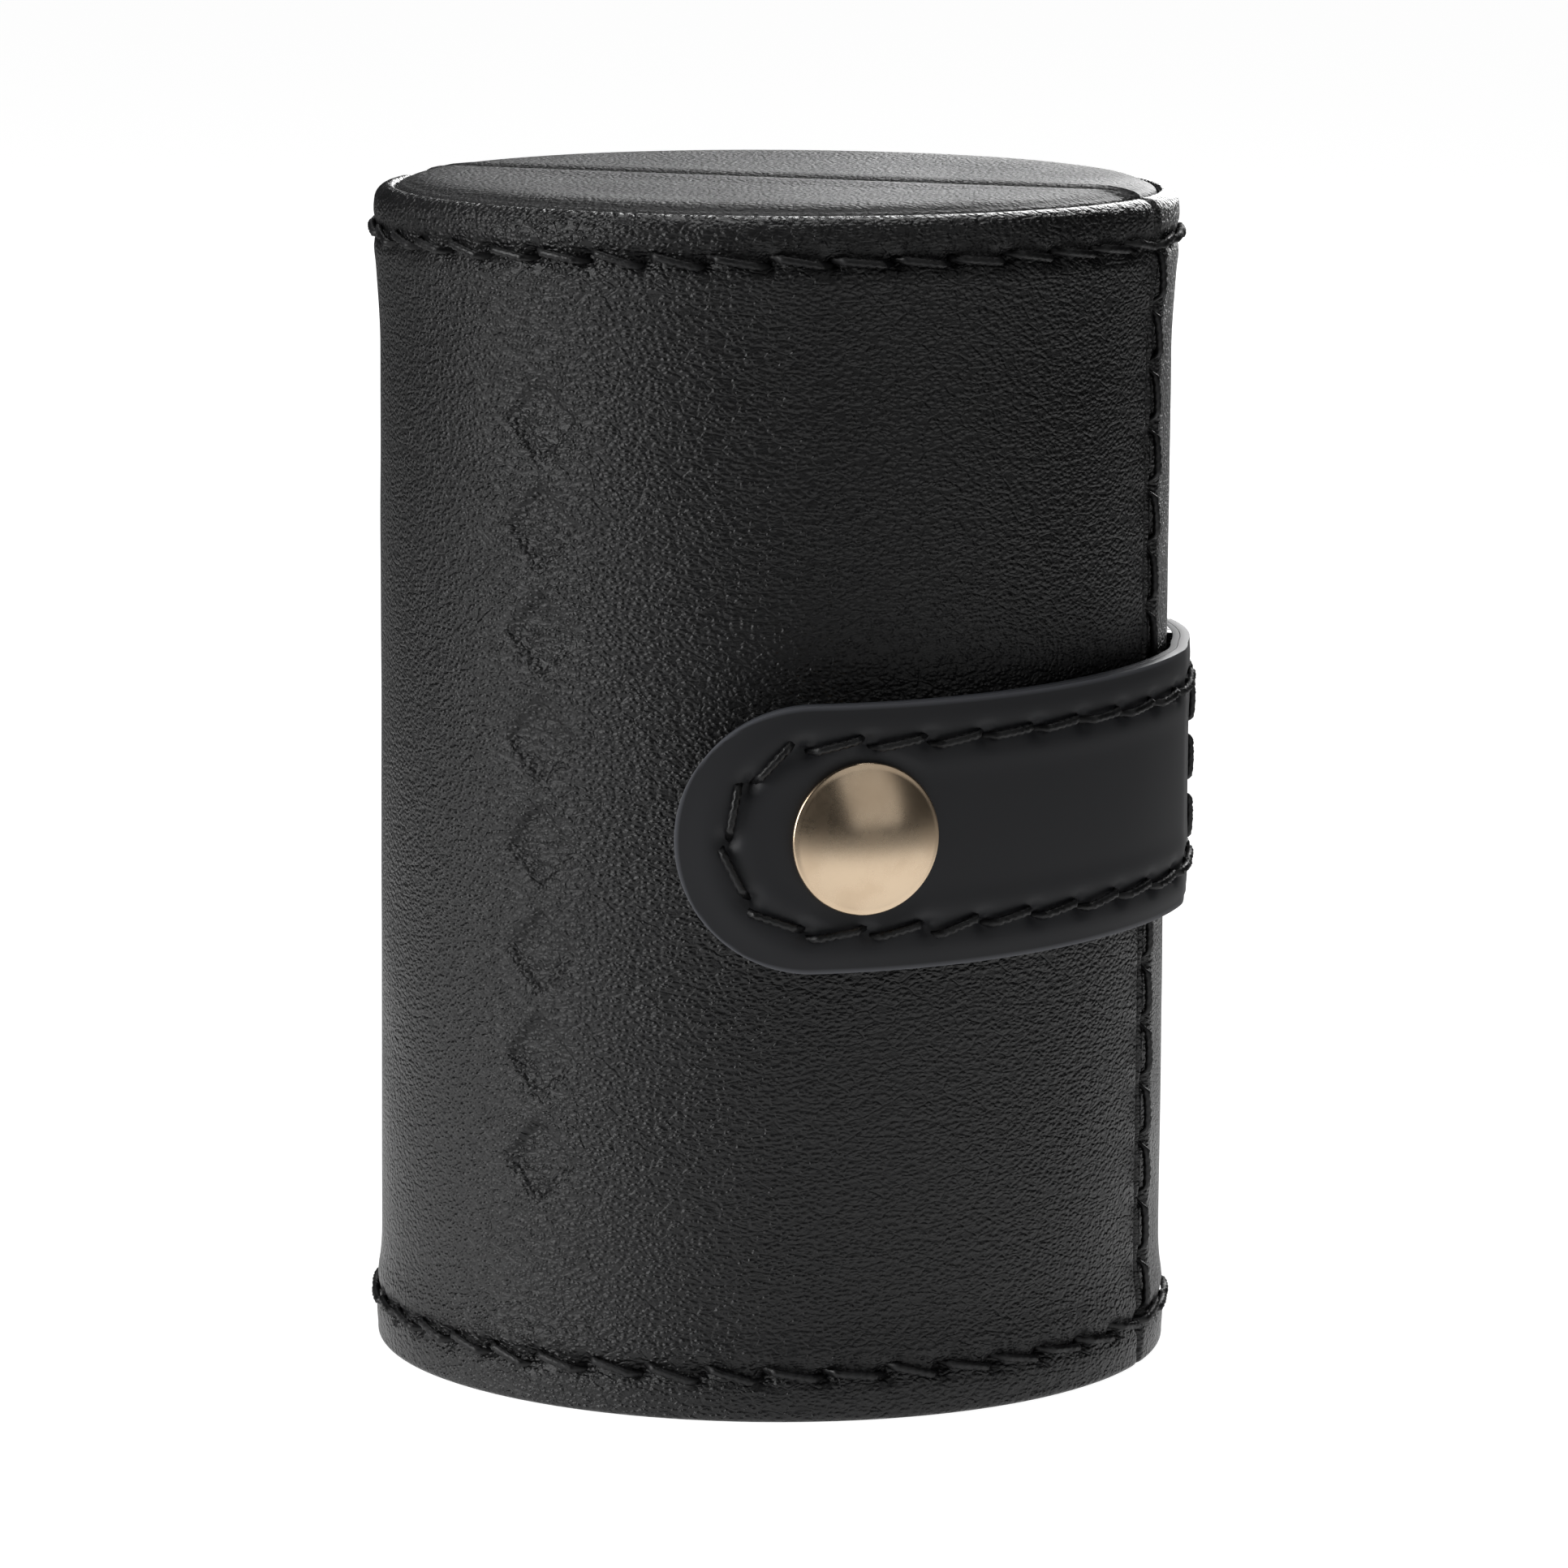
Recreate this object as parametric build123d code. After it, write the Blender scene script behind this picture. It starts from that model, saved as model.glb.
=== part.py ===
from build123d import *
import os
from math import atan2, cos, degrees, pi, radians, sin

# A round leather travel case for jewelry. It stands on its base with the axis along +Z and the
# origin at the centre of the base. It splits on the plane Y = 0: the back half is +Y, the front
# half is -Y, the hinge is at -X and the opening edge, with its snap strap, is at +X.
# All lengths are millimetres and all angles are degrees, counted from +X towards +Y.

# ---- Driving dimensions ----
height = 94.9
wall_radius = 32.1
top_rim_radius = 32.55
bottom_rim_radius = 32.3
top_flare = 13.0
bottom_flare = 9.0
rim_band = 3.0
rim_round = 1.2
rim_inner_round = 0.35
base_round = 0.9
base_inner_round = 0.25

leather = 0.8
board = 1.6
end_board = 2.0
pad = 1.0
lining = 0.7
hem = 7.0
fit_gap = 0.15
glue_gap = 0.02
half_gap = 0.2

cover_crown = 0.7
base_recess = 0.3
cover_round = 1.0
cover_flat_round = 0.35

spine_thickness = 0.4
spine_half_width = 4.0
spine_end = 1.3
hinge_axis_x = -(top_rim_radius + 0.55)

shelf = 1.6
shelf_heights = (32.0, 61.0)
roll_count = 4
roll_height = 13.8
roll_gap = 0.2
roll_radius = 28.0
roll_nose = 6.2
front_shelf_height = 60.4
pocket_height = 18.0
pocket_depth = 5.0
pocket_sheet = 1.0
binding_height = 3.0
binding_thickness = 2.0

thread = 0.8
stitch_length = 3.5
stitch_bite = 0.15
top_row_height = height - 3.5
bottom_row_height = 3.8
rim_stitches = 20
rim_row_angles = (4.4, 168.0)
edge_stitches = 18
edge_row_angle = 2.6
edge_row_end = 2.6

strap_width = 20.9
strap_height = 47.2
strap_lining = 0.6
strap_face = 0.8
strap_root_angle = 21.3
strap_root_slit = 0.3
# The strap's inner face in plan: arcs that run on from each other, each with its radius and the
# direction that the face looks in where the arc ends. The snap sits where the second arc ends.
strap_arcs = ((33.0, -11.3), (41.0, -48.9), (27.0, -79.2))
strap_axis_radius = 34.45
strap_row_inset = 3.1
strap_tip_inset = 4.0
strap_pitch = 4.9
anchor_outer = 34.3
anchor_end_angle = 36.1

snap_cap_radius = 6.0
snap_cap_sink = 0.3
snap_cap_rim = 0.6
snap_cap_dome = 1.7
snap_post_radius = 1.3
socket_radius = 4.4
socket_depth = 1.9
socket_plate = 0.4
socket_cavity_radius = 3.4
socket_mouth_radius = 2.35
socket_top_plate = 0.3
ball_radius = 1.9
ball_drop = 0.53
ball_top = 0.4
stud_neck_radius = 1.45
stud_flange_radius = 3.5
stud_flange = 0.4
stud_flange_proud = 0.15
stud_post_radius = 1.2
eyelet_radius = 1.9
eyelet_flange_radius = 3.5
eyelet_flange = 0.4
spring_wire_radius = 0.2
spring_leg_offset = 2.0
spring_leg_drop = 0.75
spring_leg_length = 4.6

# ---- Radii that follow from the driving dimensions ----
sheet_inner = wall_radius - leather
top_hem_inner = top_rim_radius - 2 * leather
bottom_hem_inner = bottom_rim_radius - 2 * leather
board_outer = sheet_inner - glue_gap
board_inner = board_outer - board
lining_outer = board_inner - glue_gap
lining_inner = lining_outer - lining
top_cover_radius = top_hem_inner - fit_gap
bottom_cover_radius = bottom_hem_inner - fit_gap
strap_thickness = strap_lining + strap_face

# ---- Heights of the layers at each end ----
top_pad_top = height + cover_crown - leather - glue_gap
top_board_top = top_pad_top - pad - glue_gap
inside_top = top_board_top - end_board - glue_gap
bottom_board_low = base_recess + leather + glue_gap
inside_bottom = bottom_board_low + end_board + glue_gap
cavity_top = inside_top - lining
cavity_bottom = inside_bottom + lining

# Flat faces of the back half: the outer leather, then what it is turned over
cover_flat = half_gap + 0.05
board_flat = half_gap + leather + glue_gap


# ---- Shared shapes ----
def direction(angle):
    return Vector(cos(radians(angle)), sin(radians(angle)), 0)


def half_round(radius, flat_y, low, high):
    """A half-round slab of the back half, from the plane y = flat_y to the radius."""
    middle = (low + high) / 2
    disc = Pos(0, 0, middle) * Cylinder(radius, high - low)
    keep = Pos(0, flat_y + radius, middle) * Box(4 * radius, 2 * radius, high - low)
    return disc & keep


def ring_from(points, rounds=()):
    """A ring turned about Z from a radius and height outline, with some corners rounded."""
    outline = make_face(Polyline(*points, close=True))
    for corner, radius in rounds:
        near = outline.vertices().sort_by_distance(Vector(*points[corner]))[0]
        outline = fillet(near, radius)
    return revolve(Plane.XZ * outline, Axis.Z, 360)


def back_part(shape, flat_y):
    """What lies behind the plane y = flat_y."""
    keep = Pos(0, flat_y + 50, height / 2) * Box(200, 100, 2 * height)
    return shape & keep


def front(shape):
    """The front half mirrors the back half."""
    return mirror(shape, Plane.XZ)


def one_thread():
    """One visible stitch: a short length of thread with rounded ends, along X."""
    straight = stitch_length - thread
    ends = [Pos(side * straight / 2, 0, 0) * Sphere(thread / 2) for side in (-1, 1)]
    return Rot(0, 90, 0) * Cylinder(thread / 2, straight) + ends


stitch = one_thread()


def rim_row(radius, row_height):
    """The back half's row of stitches round one rim."""
    first, last = rim_row_angles
    step = (last - first) / (rim_stitches - 1)
    row = []
    for i in range(rim_stitches):
        angle = first + i * step
        centre = direction(angle) * (radius + thread / 2 - stitch_bite) + Vector(0, 0, row_height)
        row.append(Pos(*centre) * Rot(0, 0, angle + 90) * stitch)
    return row


# ---- The strap's curve in plan ----
def strap_frame(distance, offset):
    """The point on the strap this far from its root, and the direction its face looks in."""
    centre = Vector(0, 0, 0)
    start = strap_root_angle
    radius_before = strap_arcs[0][0]
    left = distance
    for radius, end in strap_arcs:
        centre = centre + direction(start) * (radius_before - radius)
        length = radius * radians(start - end)
        if left <= length or (radius, end) == strap_arcs[-1]:
            angle = start - degrees(left / radius)
            return centre + direction(angle) * (radius + offset), angle
        left -= length
        start = end
        radius_before = radius


strap_length = 0
arc_start = strap_root_angle
for arc_radius, arc_end in strap_arcs:
    strap_length += arc_radius * radians(arc_start - arc_end)
    arc_start = arc_end
last_radius = strap_arcs[-1][0]
snap_distance = strap_length - last_radius * radians(strap_arcs[-2][1] - strap_arcs[-1][1])


def strap_sheet(inner, outer):
    """One layer of the strap, with its round tip, between two offsets from the inner face."""
    begin = strap_root_slit / 2
    steps = [begin]
    start = strap_root_angle
    run = 0
    for radius, end in strap_arcs:
        length = radius * radians(start - end)
        steps += [run + length / 2, run + length]
        run += length
        start = end
    steps[1] = (begin + steps[2]) / 2
    lines = []
    for offset in (inner, outer):
        points = [strap_frame(step, offset)[0] for step in steps]
        for i in range(0, len(points) - 2, 2):
            lines.append(ThreePointArc(points[i], points[i + 1], points[i + 2]))
    for step in (steps[0], steps[-1]):
        lines.append(Line(strap_frame(step, inner)[0], strap_frame(step, outer)[0]))
    plan = make_face(lines)
    tall = Pos(0, 0, strap_height - strap_width) * extrude(plan, 2 * strap_width)
    tip, tip_angle = strap_frame(strap_length, (inner + outer) / 2)
    look = (tip_angle + strap_arcs[-2][1]) / 2
    end_radius = strap_width / 2
    corner = Plane(
        origin=tip + Vector(0, 0, strap_height),
        x_dir=direction(look + 90),
        z_dir=direction(look),
    )
    outline = Pos(end_radius, 0) * Circle(end_radius)
    outline += Pos(end_radius + 60, 0) * Rectangle(120, strap_width)
    return tall & extrude(corner * outline, 90, both=True)


def snap_plane(offset):
    point, angle = strap_frame(snap_distance, offset)
    return Plane(origin=point + Vector(0, 0, strap_height), x_dir=(0, 0, 1), z_dir=direction(angle))


def stud_plane():
    """Square to the wall, through the middle of the stud's ball. Its origin is on the axis."""
    ball = strap_frame(snap_distance, -ball_drop)[0]
    angle = degrees(atan2(ball.Y, ball.X))
    return Plane(origin=(0, 0, strap_height), x_dir=(0, 0, 1), z_dir=direction(angle)), ball.length


stud_base, ball_distance = stud_plane()


def rod(plane, radius, low, high):
    """A round bar along the plane's normal between two heights."""
    return plane * Pos(0, 0, (low + high) / 2) * Cylinder(radius, high - low)


# ---- Outer leather ----
def outer_line():
    return [
        (bottom_rim_radius, 0),
        (bottom_rim_radius, rim_band),
        (wall_radius, bottom_flare),
        (wall_radius, height - top_flare),
        (top_rim_radius, height - rim_band),
        (top_rim_radius, height),
    ]


def wrap_ring():
    """The leather's section: a sheet with a hem turned in at the top and bottom rims."""
    inside = [
        (top_hem_inner, height),
        (top_hem_inner, height - hem),
        (sheet_inner, height - hem),
        (sheet_inner, hem),
        (bottom_hem_inner, hem),
        (bottom_hem_inner, 0),
    ]
    points = outer_line() + inside
    rounds = [(0, base_round), (5, rim_round), (6, rim_inner_round), (11, base_inner_round)]
    return ring_from(points, rounds)


def spine_ring(depth):
    """The outermost part of the leather's section, where the hinge strip is let in."""
    line = outer_line()
    line[0] = (line[0][0], spine_end)
    line[-1] = (line[-1][0], height - spine_end)
    inside = [(radius - depth, level) for radius, level in reversed(line)]
    return ring_from(line + inside)


def hinge_strip_zone(half_width):
    return Pos(-50, 0, height / 2) * Box(100, 2 * half_width, 2 * height)


def back_wrap():
    shape = back_part(wrap_ring(), half_gap)
    # the leather is turned in over the upright edges of the wall board
    turned = half_round(sheet_inner, half_gap, hem, height - hem)
    turned -= half_round(board_inner, -5, hem, height - hem)
    turned -= half_round(sheet_inner + 1, half_gap + leather, 0, height)
    shape += turned
    recess = spine_ring(spine_thickness + glue_gap) & hinge_strip_zone(spine_half_width + 0.1)
    return shape - recess


def hinge_spine():
    return spine_ring(spine_thickness) & hinge_strip_zone(spine_half_width)


def front_wrap(wrap):
    shape = front(wrap)
    seat = wall_radius + stud_flange_proud - stud_flange
    shape -= rod(stud_base, stud_flange_radius + 0.1, seat, seat + 5)
    return shape - rod(stud_base, eyelet_radius + 0.05, 20, 40)


# ---- Boards, pads and covers ----
def wall_board():
    low = hem + glue_gap
    high = height - hem - glue_gap
    shape = half_round(board_outer, board_flat, low, high)
    return shape - half_round(board_inner, -5, low - 1, high + 1)


def top_cover():
    low = height - hem
    high = height + cover_crown
    shape = half_round(top_cover_radius, cover_flat, low, high)
    crown = shape.faces().sort_by(Axis.Z)[-1]
    shape = fillet(crown.edges().filter_by(GeomType.CIRCLE), cover_round)
    crown = shape.faces().filter_by(Plane.XY).sort_by(Axis.Z)[-1]
    shape = fillet(crown.edges().filter_by(GeomType.LINE), cover_flat_round)
    inside_radius = top_cover_radius - leather
    shape -= half_round(inside_radius, board_flat, low - 1, top_pad_top + glue_gap)
    return shape - half_round(inside_radius, -5, low - 1, inside_top)


def bottom_cover():
    shape = half_round(bottom_cover_radius, cover_flat, base_recess, hem)
    inside_radius = bottom_cover_radius - leather
    shape -= half_round(inside_radius, board_flat, base_recess + leather, hem + 1)
    return shape - half_round(inside_radius, -5, inside_bottom, hem + 1)


def end_slab(cover_radius, low, high):
    radius = cover_radius - leather - glue_gap
    return half_round(radius, board_flat + glue_gap, low, high)


def lining_tray():
    shape = half_round(lining_outer, cover_flat, inside_bottom, inside_top)
    return shape - half_round(lining_inner, -5, cavity_bottom, cavity_top)


def front_lining():
    return front(lining_tray()) - rod(stud_base, eyelet_radius + 0.05, 20, 40)


def front_wall_board():
    return front(wall_board()) - rod(stud_base, eyelet_radius + 0.05, 20, 40)


# ---- Inside ----
def back_shelf(low):
    return half_round(lining_inner - glue_gap, 1.5, low, low + shelf)


def ring_rolls():
    """Soft logs across the front half. Rings are pressed into the lines between them."""
    rolls = []
    for i in range(roll_count):
        low = cavity_bottom + glue_gap + i * (roll_height + roll_gap)
        roll = half_round(roll_radius, 1.2, low, low + roll_height)
        flat = roll.faces().filter_by(Plane.XZ)[0]
        nose = flat.edges().filter_by(Axis.X)
        rolls.append(front(fillet(nose, roll_nose)))
    return rolls


def front_shelf():
    return front(back_shelf(front_shelf_height))


def pocket_slab(low, high, near, far):
    """A flat panel across the front half's cavity."""
    slab = half_round(lining_inner - glue_gap, near, low, high)
    return front(slab - half_round(lining_inner + 1, far, low - 1, high + 1))


def jewelry_pocket():
    low = front_shelf_height + shelf + glue_gap
    return pocket_slab(low, low + pocket_height, pocket_depth, pocket_depth + pocket_sheet)


def pocket_binding():
    """A soft elastic band along the pocket's mouth, slotted over the panel's top edge."""
    top = front_shelf_height + shelf + glue_gap + pocket_height
    middle = pocket_depth + pocket_sheet / 2
    near = middle - binding_thickness / 2
    far = middle + binding_thickness / 2
    band = pocket_slab(top - binding_height + 1, top + 1, near, far)
    slot_low = top - binding_height
    slot = pocket_slab(slot_low, top + glue_gap, pocket_depth - 0.01, pocket_depth + pocket_sheet + 0.01)
    return band - slot


# ---- Stitching ----
def back_rim_stitching():
    top = rim_row(top_rim_radius, top_row_height)
    return top + rim_row(bottom_rim_radius, bottom_row_height)


def opening_edge_stitching():
    low = bottom_row_height + edge_row_end
    high = top_row_height - edge_row_end
    step = (high - low) / (edge_stitches - 1)
    row = []
    for i in range(edge_stitches):
        level = low + i * step
        radius = radius_at(level) + thread / 2 - stitch_bite
        centre = direction(edge_row_angle) * radius + Vector(0, 0, level)
        row.append(Pos(*centre) * Rot(0, 90, 0) * stitch)
    return row


def radius_at(level):
    """The outer leather's radius at a height."""
    line = outer_line()
    for (r0, z0), (r1, z1) in zip(line, line[1:]):
        if z0 <= level <= z1:
            return r0 + (r1 - r0) * (level - z0) / (z1 - z0)


def strap_outline(step):
    """Where the strap's row of stitches goes, as distance along and height across."""
    half = strap_width / 2 - strap_row_inset
    round_centre = strap_length - strap_tip_inset - half
    turn = pi * half
    straight = round_centre - 1.0
    if step < straight:
        return 1.0 + step, half, 0
    if step < straight + turn:
        around = (step - straight) / half
        return round_centre + half * sin(around), half * cos(around), -degrees(around)
    return round_centre - (step - straight - turn), -half, 180


def strap_stitching():
    half = strap_width / 2 - strap_row_inset
    total = 2 * (strap_length - strap_tip_inset - half - 1.0) + pi * half
    count = round(total / strap_pitch)
    pitch = total / count
    row = []
    for i in range(count):
        along, across, slope = strap_outline((i + 0.5) * pitch)
        point, angle = strap_frame(along, strap_thickness + thread / 2 - stitch_bite)
        forward = direction(angle - 90)
        heading = forward * cos(radians(slope)) + Vector(0, 0, 1) * sin(radians(slope))
        place = Plane(
            origin=point + Vector(0, 0, strap_height + across),
            x_dir=heading,
            z_dir=direction(angle),
        )
        row.append(place * stitch)
    return row


def strap_root_stitching():
    """A box of stitches that sews the root of the strap to the back half."""
    half = strap_width / 2 - strap_row_inset
    inset = degrees(1.6 / anchor_outer)
    near = strap_root_angle + inset
    far = anchor_end_angle - inset
    radius = anchor_outer + thread / 2 - stitch_bite
    row = []
    for angle in (near, far):
        for i in (-1, 0, 1):
            centre = direction(angle) * radius + Vector(0, 0, strap_height + i * 2 * half / 3)
            row.append(Pos(*centre) * Rot(0, 90, 0) * stitch)
    middle = (near + far) / 2
    for side in (-1, 1):
        centre = direction(middle) * radius + Vector(0, 0, strap_height + side * half)
        row.append(Pos(*centre) * Rot(0, 0, middle + 90) * stitch)
    return row


# ---- Strap and snap ----
def strap_anchor():
    """The folded root of the strap, sewn flat to the back half."""
    slit = degrees(strap_root_slit / 2 / anchor_outer)
    tube = Cylinder(anchor_outer, strap_width) - Cylinder(wall_radius + glue_gap, strap_width)
    near = strap_root_angle + slit
    far = anchor_end_angle
    wedge = make_face(Polyline((0, 0), direction(near) * 60, direction(far) * 60, close=True))
    shape = tube & extrude(wedge, strap_width, both=True)
    return Pos(0, 0, strap_height) * shape


def strap_outer():
    """The face leather, pressed flat under the snap cap and over the socket."""
    shape = strap_sheet(strap_lining, strap_thickness)
    base = snap_plane(0)
    shape -= rod(base, snap_post_radius + 0.05, -5, 5)
    shape -= rod(base, snap_cap_radius + 0.05, strap_thickness - snap_cap_sink, 5)
    return shape - rod(base, socket_radius + 0.05, -5, strap_lining)


def strap_backing():
    shape = strap_sheet(0, strap_lining - glue_gap)
    return shape - rod(snap_plane(0), socket_radius + 0.05, -5, 5)


def snap_cap():
    """A domed cap on the strap's face, with its post down through the leather."""
    seat = snap_plane(strap_thickness - snap_cap_sink)
    rise = (snap_cap_radius**2 + snap_cap_dome**2) / (2 * snap_cap_dome)
    dome = Pos(0, 0, snap_cap_rim + snap_cap_dome - rise) * Sphere(rise)
    dome &= Pos(0, 0, snap_cap_rim + 5) * Cylinder(snap_cap_radius, 10)
    shape = dome + Pos(0, 0, snap_cap_rim / 2) * Cylinder(snap_cap_radius, snap_cap_rim)
    post_low = strap_lining - socket_top_plate - strap_thickness + snap_cap_sink
    shape += Pos(0, 0, post_low / 2) * Cylinder(snap_post_radius, -post_low)
    return seat * shape


def snap_socket():
    """The ring-shaped socket behind the strap, let into the backing leather."""
    base = snap_plane(0)
    shape = rod(base, socket_radius, -socket_depth, strap_lining - glue_gap)
    cavity_low = socket_plate - socket_depth
    cavity_high = strap_lining - socket_top_plate
    shape -= rod(base, socket_cavity_radius, cavity_low, cavity_high)
    shape -= rod(base, socket_mouth_radius, -socket_depth - 1, 0)
    return shape - rod(base, snap_post_radius + glue_gap, 0, 2)


def snap_spring():
    """Two straight wire legs that grip the stud under its ball."""
    level = -ball_drop - spring_leg_drop
    legs = []
    for side in (-1, 1):
        leg = Pos(side * spring_leg_offset, 0, level) * Rot(90, 0, 0)
        leg *= Cylinder(spring_wire_radius, spring_leg_length)
        legs.append(snap_plane(0) * leg)
    return legs


def snap_stud():
    """The stud on the front wall: sunk flange, neck, flattened ball and a post through the wall."""
    flange_top = wall_radius + stud_flange_proud
    ball = Pos(0, 0, ball_distance) * Sphere(ball_radius)
    ball &= Pos(0, 0, ball_distance + ball_top - 5) * Cylinder(5, 10)
    shape = stud_base * ball
    shape += rod(stud_base, stud_neck_radius, flange_top - 0.1, ball_distance)
    shape += rod(stud_base, stud_flange_radius, flange_top - stud_flange, flange_top)
    return shape + rod(stud_base, stud_post_radius, lining_inner - 0.6, flange_top)


def stud_eyelet():
    """The eyelet that clenches the stud from inside the wall."""
    low = lining_inner - 0.25 - eyelet_flange
    shape = rod(stud_base, eyelet_flange_radius, low, low + eyelet_flange)
    shape += rod(stud_base, eyelet_radius, low, wall_radius + stud_flange_proud - stud_flange - glue_gap)
    return shape - rod(stud_base, stud_post_radius + glue_gap, low - 1, 40)


# ---- Write one file per piece ----
outer_back = back_wrap()
back_top = top_cover()
back_bottom = bottom_cover()
top_board = end_slab(top_cover_radius, inside_top + glue_gap, top_board_top)
top_pad = end_slab(top_cover_radius, top_board_top + glue_gap, top_pad_top)
bottom_board = end_slab(bottom_cover_radius, bottom_board_low, inside_bottom - glue_gap)
rims = back_rim_stitching()

pieces = {
    "back_wrap": outer_back,
    "back_wall_board": wall_board(),
    "back_top_board": top_board,
    "back_top_pad": top_pad,
    "back_top_cover": back_top,
    "back_bottom_board": bottom_board,
    "back_bottom_cover": back_bottom,
    "back_lining": lining_tray(),
    "lower_shelf": back_shelf(shelf_heights[0]),
    "upper_shelf": back_shelf(shelf_heights[1]),
    "back_rim_stitching": rims,
    "opening_edge_stitching": opening_edge_stitching(),
    "strap_anchor": strap_anchor(),
    "strap_root_stitching": strap_root_stitching(),
    "hinge_spine": hinge_spine(),
    "front_wrap": front_wrap(outer_back),
    "front_wall_board": front_wall_board(),
    "front_top_board": front(top_board),
    "front_top_pad": front(top_pad),
    "front_top_cover": front(back_top),
    "front_bottom_board": front(bottom_board),
    "front_bottom_cover": front(back_bottom),
    "front_lining": front_lining(),
    "ring_rolls": ring_rolls(),
    "pocket_shelf": front_shelf(),
    "jewelry_pocket": jewelry_pocket(),
    "pocket_binding": pocket_binding(),
    "front_rim_stitching": [front(one) for one in rims],
    "snap_stud": snap_stud(),
    "stud_eyelet": stud_eyelet(),
    "strap_outer": strap_outer(),
    "strap_backing": strap_backing(),
    "strap_stitching": strap_stitching(),
    "snap_cap": snap_cap(),
    "snap_socket": snap_socket(),
    "snap_spring": snap_spring(),
}

os.makedirs("parts", exist_ok=True)
for name, shape in pieces.items():
    if isinstance(shape, list):
        shape = Compound(children=[Solid(one.solid().wrapped) for one in shape])
    export_step(shape, f"parts/{name}.step")
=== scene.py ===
# A small round travel case for jewelry, in black pebbled leather over board.
# It opens like a book on a leather hinge and shuts with a stitched strap and a snap.
from math import asin, atan2, cos, exp, hypot, pi, radians, sin, sqrt

import bmesh
import bpy
from mathutils import Matrix, Vector, noise


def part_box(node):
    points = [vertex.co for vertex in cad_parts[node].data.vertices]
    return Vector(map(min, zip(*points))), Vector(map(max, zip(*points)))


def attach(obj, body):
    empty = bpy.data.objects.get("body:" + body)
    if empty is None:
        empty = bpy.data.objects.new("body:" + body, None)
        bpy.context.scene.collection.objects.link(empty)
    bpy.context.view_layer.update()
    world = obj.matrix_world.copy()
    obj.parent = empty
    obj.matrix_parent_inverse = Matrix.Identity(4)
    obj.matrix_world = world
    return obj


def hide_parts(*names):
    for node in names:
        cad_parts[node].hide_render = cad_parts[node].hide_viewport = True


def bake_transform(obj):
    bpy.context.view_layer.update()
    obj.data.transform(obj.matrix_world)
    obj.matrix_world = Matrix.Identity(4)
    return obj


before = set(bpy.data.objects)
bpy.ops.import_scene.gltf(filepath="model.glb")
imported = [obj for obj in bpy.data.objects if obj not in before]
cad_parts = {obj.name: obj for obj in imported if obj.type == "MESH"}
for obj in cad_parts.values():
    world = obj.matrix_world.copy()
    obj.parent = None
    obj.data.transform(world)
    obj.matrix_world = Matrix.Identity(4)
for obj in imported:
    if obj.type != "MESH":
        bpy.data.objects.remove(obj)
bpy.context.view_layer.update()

mm = 0.001


# ---- Camera ----
# It stands a little above the lid and looks at the front half with the strap on the right.
# The long lens keeps the walls of the case nearly upright.
camera = bpy.data.objects.new("camera", bpy.data.cameras.new("camera"))
bpy.context.scene.collection.objects.link(camera)
camera.data.sensor_width = 36
camera.data.lens = 167.3
view_heading = radians(22.0)
view_distance, view_height = 0.5903, 0.1405
view_aside, view_down, view_roll = radians(0.087), radians(9.12), radians(0.37)
camera.matrix_world = (
    Matrix.Translation(
        (view_distance * sin(view_heading), -view_distance * cos(view_heading), view_height)
    )
    @ Matrix.Rotation(view_heading - view_aside, 4, "Z")
    @ Matrix.Rotation(pi / 2 - view_down, 4, "X")
    @ Matrix.Rotation(view_roll, 4, "Z")
)
bpy.context.scene.camera = camera
bpy.context.scene.view_settings.view_transform = "Standard"


# ---- Outer leather ----
# Each half is wrapped in one sheet of black full-grain leather, 0.8 mm thick, glued to the board.
# It is turned in at both rims and at the upright edges. A row of hand stitches goes round each
# rim, and every hole pulls the leather down into a small dimple.
case_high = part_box("front_wrap")[1]
tall = case_high.z
wall = 32.1 * mm
top_rim = case_high.x
bottom_rim = 32.45 * mm
leather = 0.8 * mm
half_gap = -case_high.y
hem = 7.0 * mm
sheet_inner = wall - leather
top_hem_inner = top_rim - 2 * leather
bottom_hem_inner = bottom_rim - 2 * leather
board_inner = 29.68 * mm
lip_round = 0.8 * mm
rim_round = 1.2 * mm
rim_band = rim_round + 0.1 * mm
foot_round = 0.5 * mm
top_row = tall - 3.5 * mm
bottom_row = 3.8 * mm
row_first, row_last, row_count = radians(4.4), radians(168.0), 20
row_step = (row_last - row_first) / (row_count - 1)
edge_angle = radians(2.6)
edge_low, edge_high, edge_count = bottom_row + 2.6 * mm, top_row - 2.6 * mm, 18
edge_step = (edge_high - edge_low) / (edge_count - 1)
row_reach = 4 * mm
spine_width = 4.0 * mm
spine_thick = 0.4 * mm
stamp_angle = radians(102.7)
stamp_low, stamp_high, stamp_pitch = 15.5 * mm, 82.7 * mm, 8.4 * mm


def ease(t):
    t = min(max(t, 0), 1)
    return t * t * (3 - 2 * t)


def wall_at(z):
    """The outer radius at a height: the wall flares gently to a wider band at each rim."""
    top = ease((z - tall + 13 * mm) / (10 * mm))
    bottom = ease((9 * mm - z) / (6 * mm))
    return wall + (top_rim - wall) * top + (bottom_rim - wall) * bottom


def arc(centre, radius, start, end, steps):
    """Points on a rounded corner of an outline."""
    points = []
    for i in range(steps + 1):
        a = radians(start + (end - start) * i / steps)
        points.append((centre[0] + radius * cos(a), centre[1] + radius * sin(a)))
    return points


def heights(low, high, fine_ends, fine, coarse):
    """Heights from low to high, close together near both ends."""
    levels = [low]
    while levels[-1] < high - 0.5 * fine:
        near = levels[-1] < low + fine_ends or levels[-1] > high - fine_ends
        levels.append(min(levels[-1] + (fine if near else coarse), high))
    levels[-1] = high
    return levels


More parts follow.
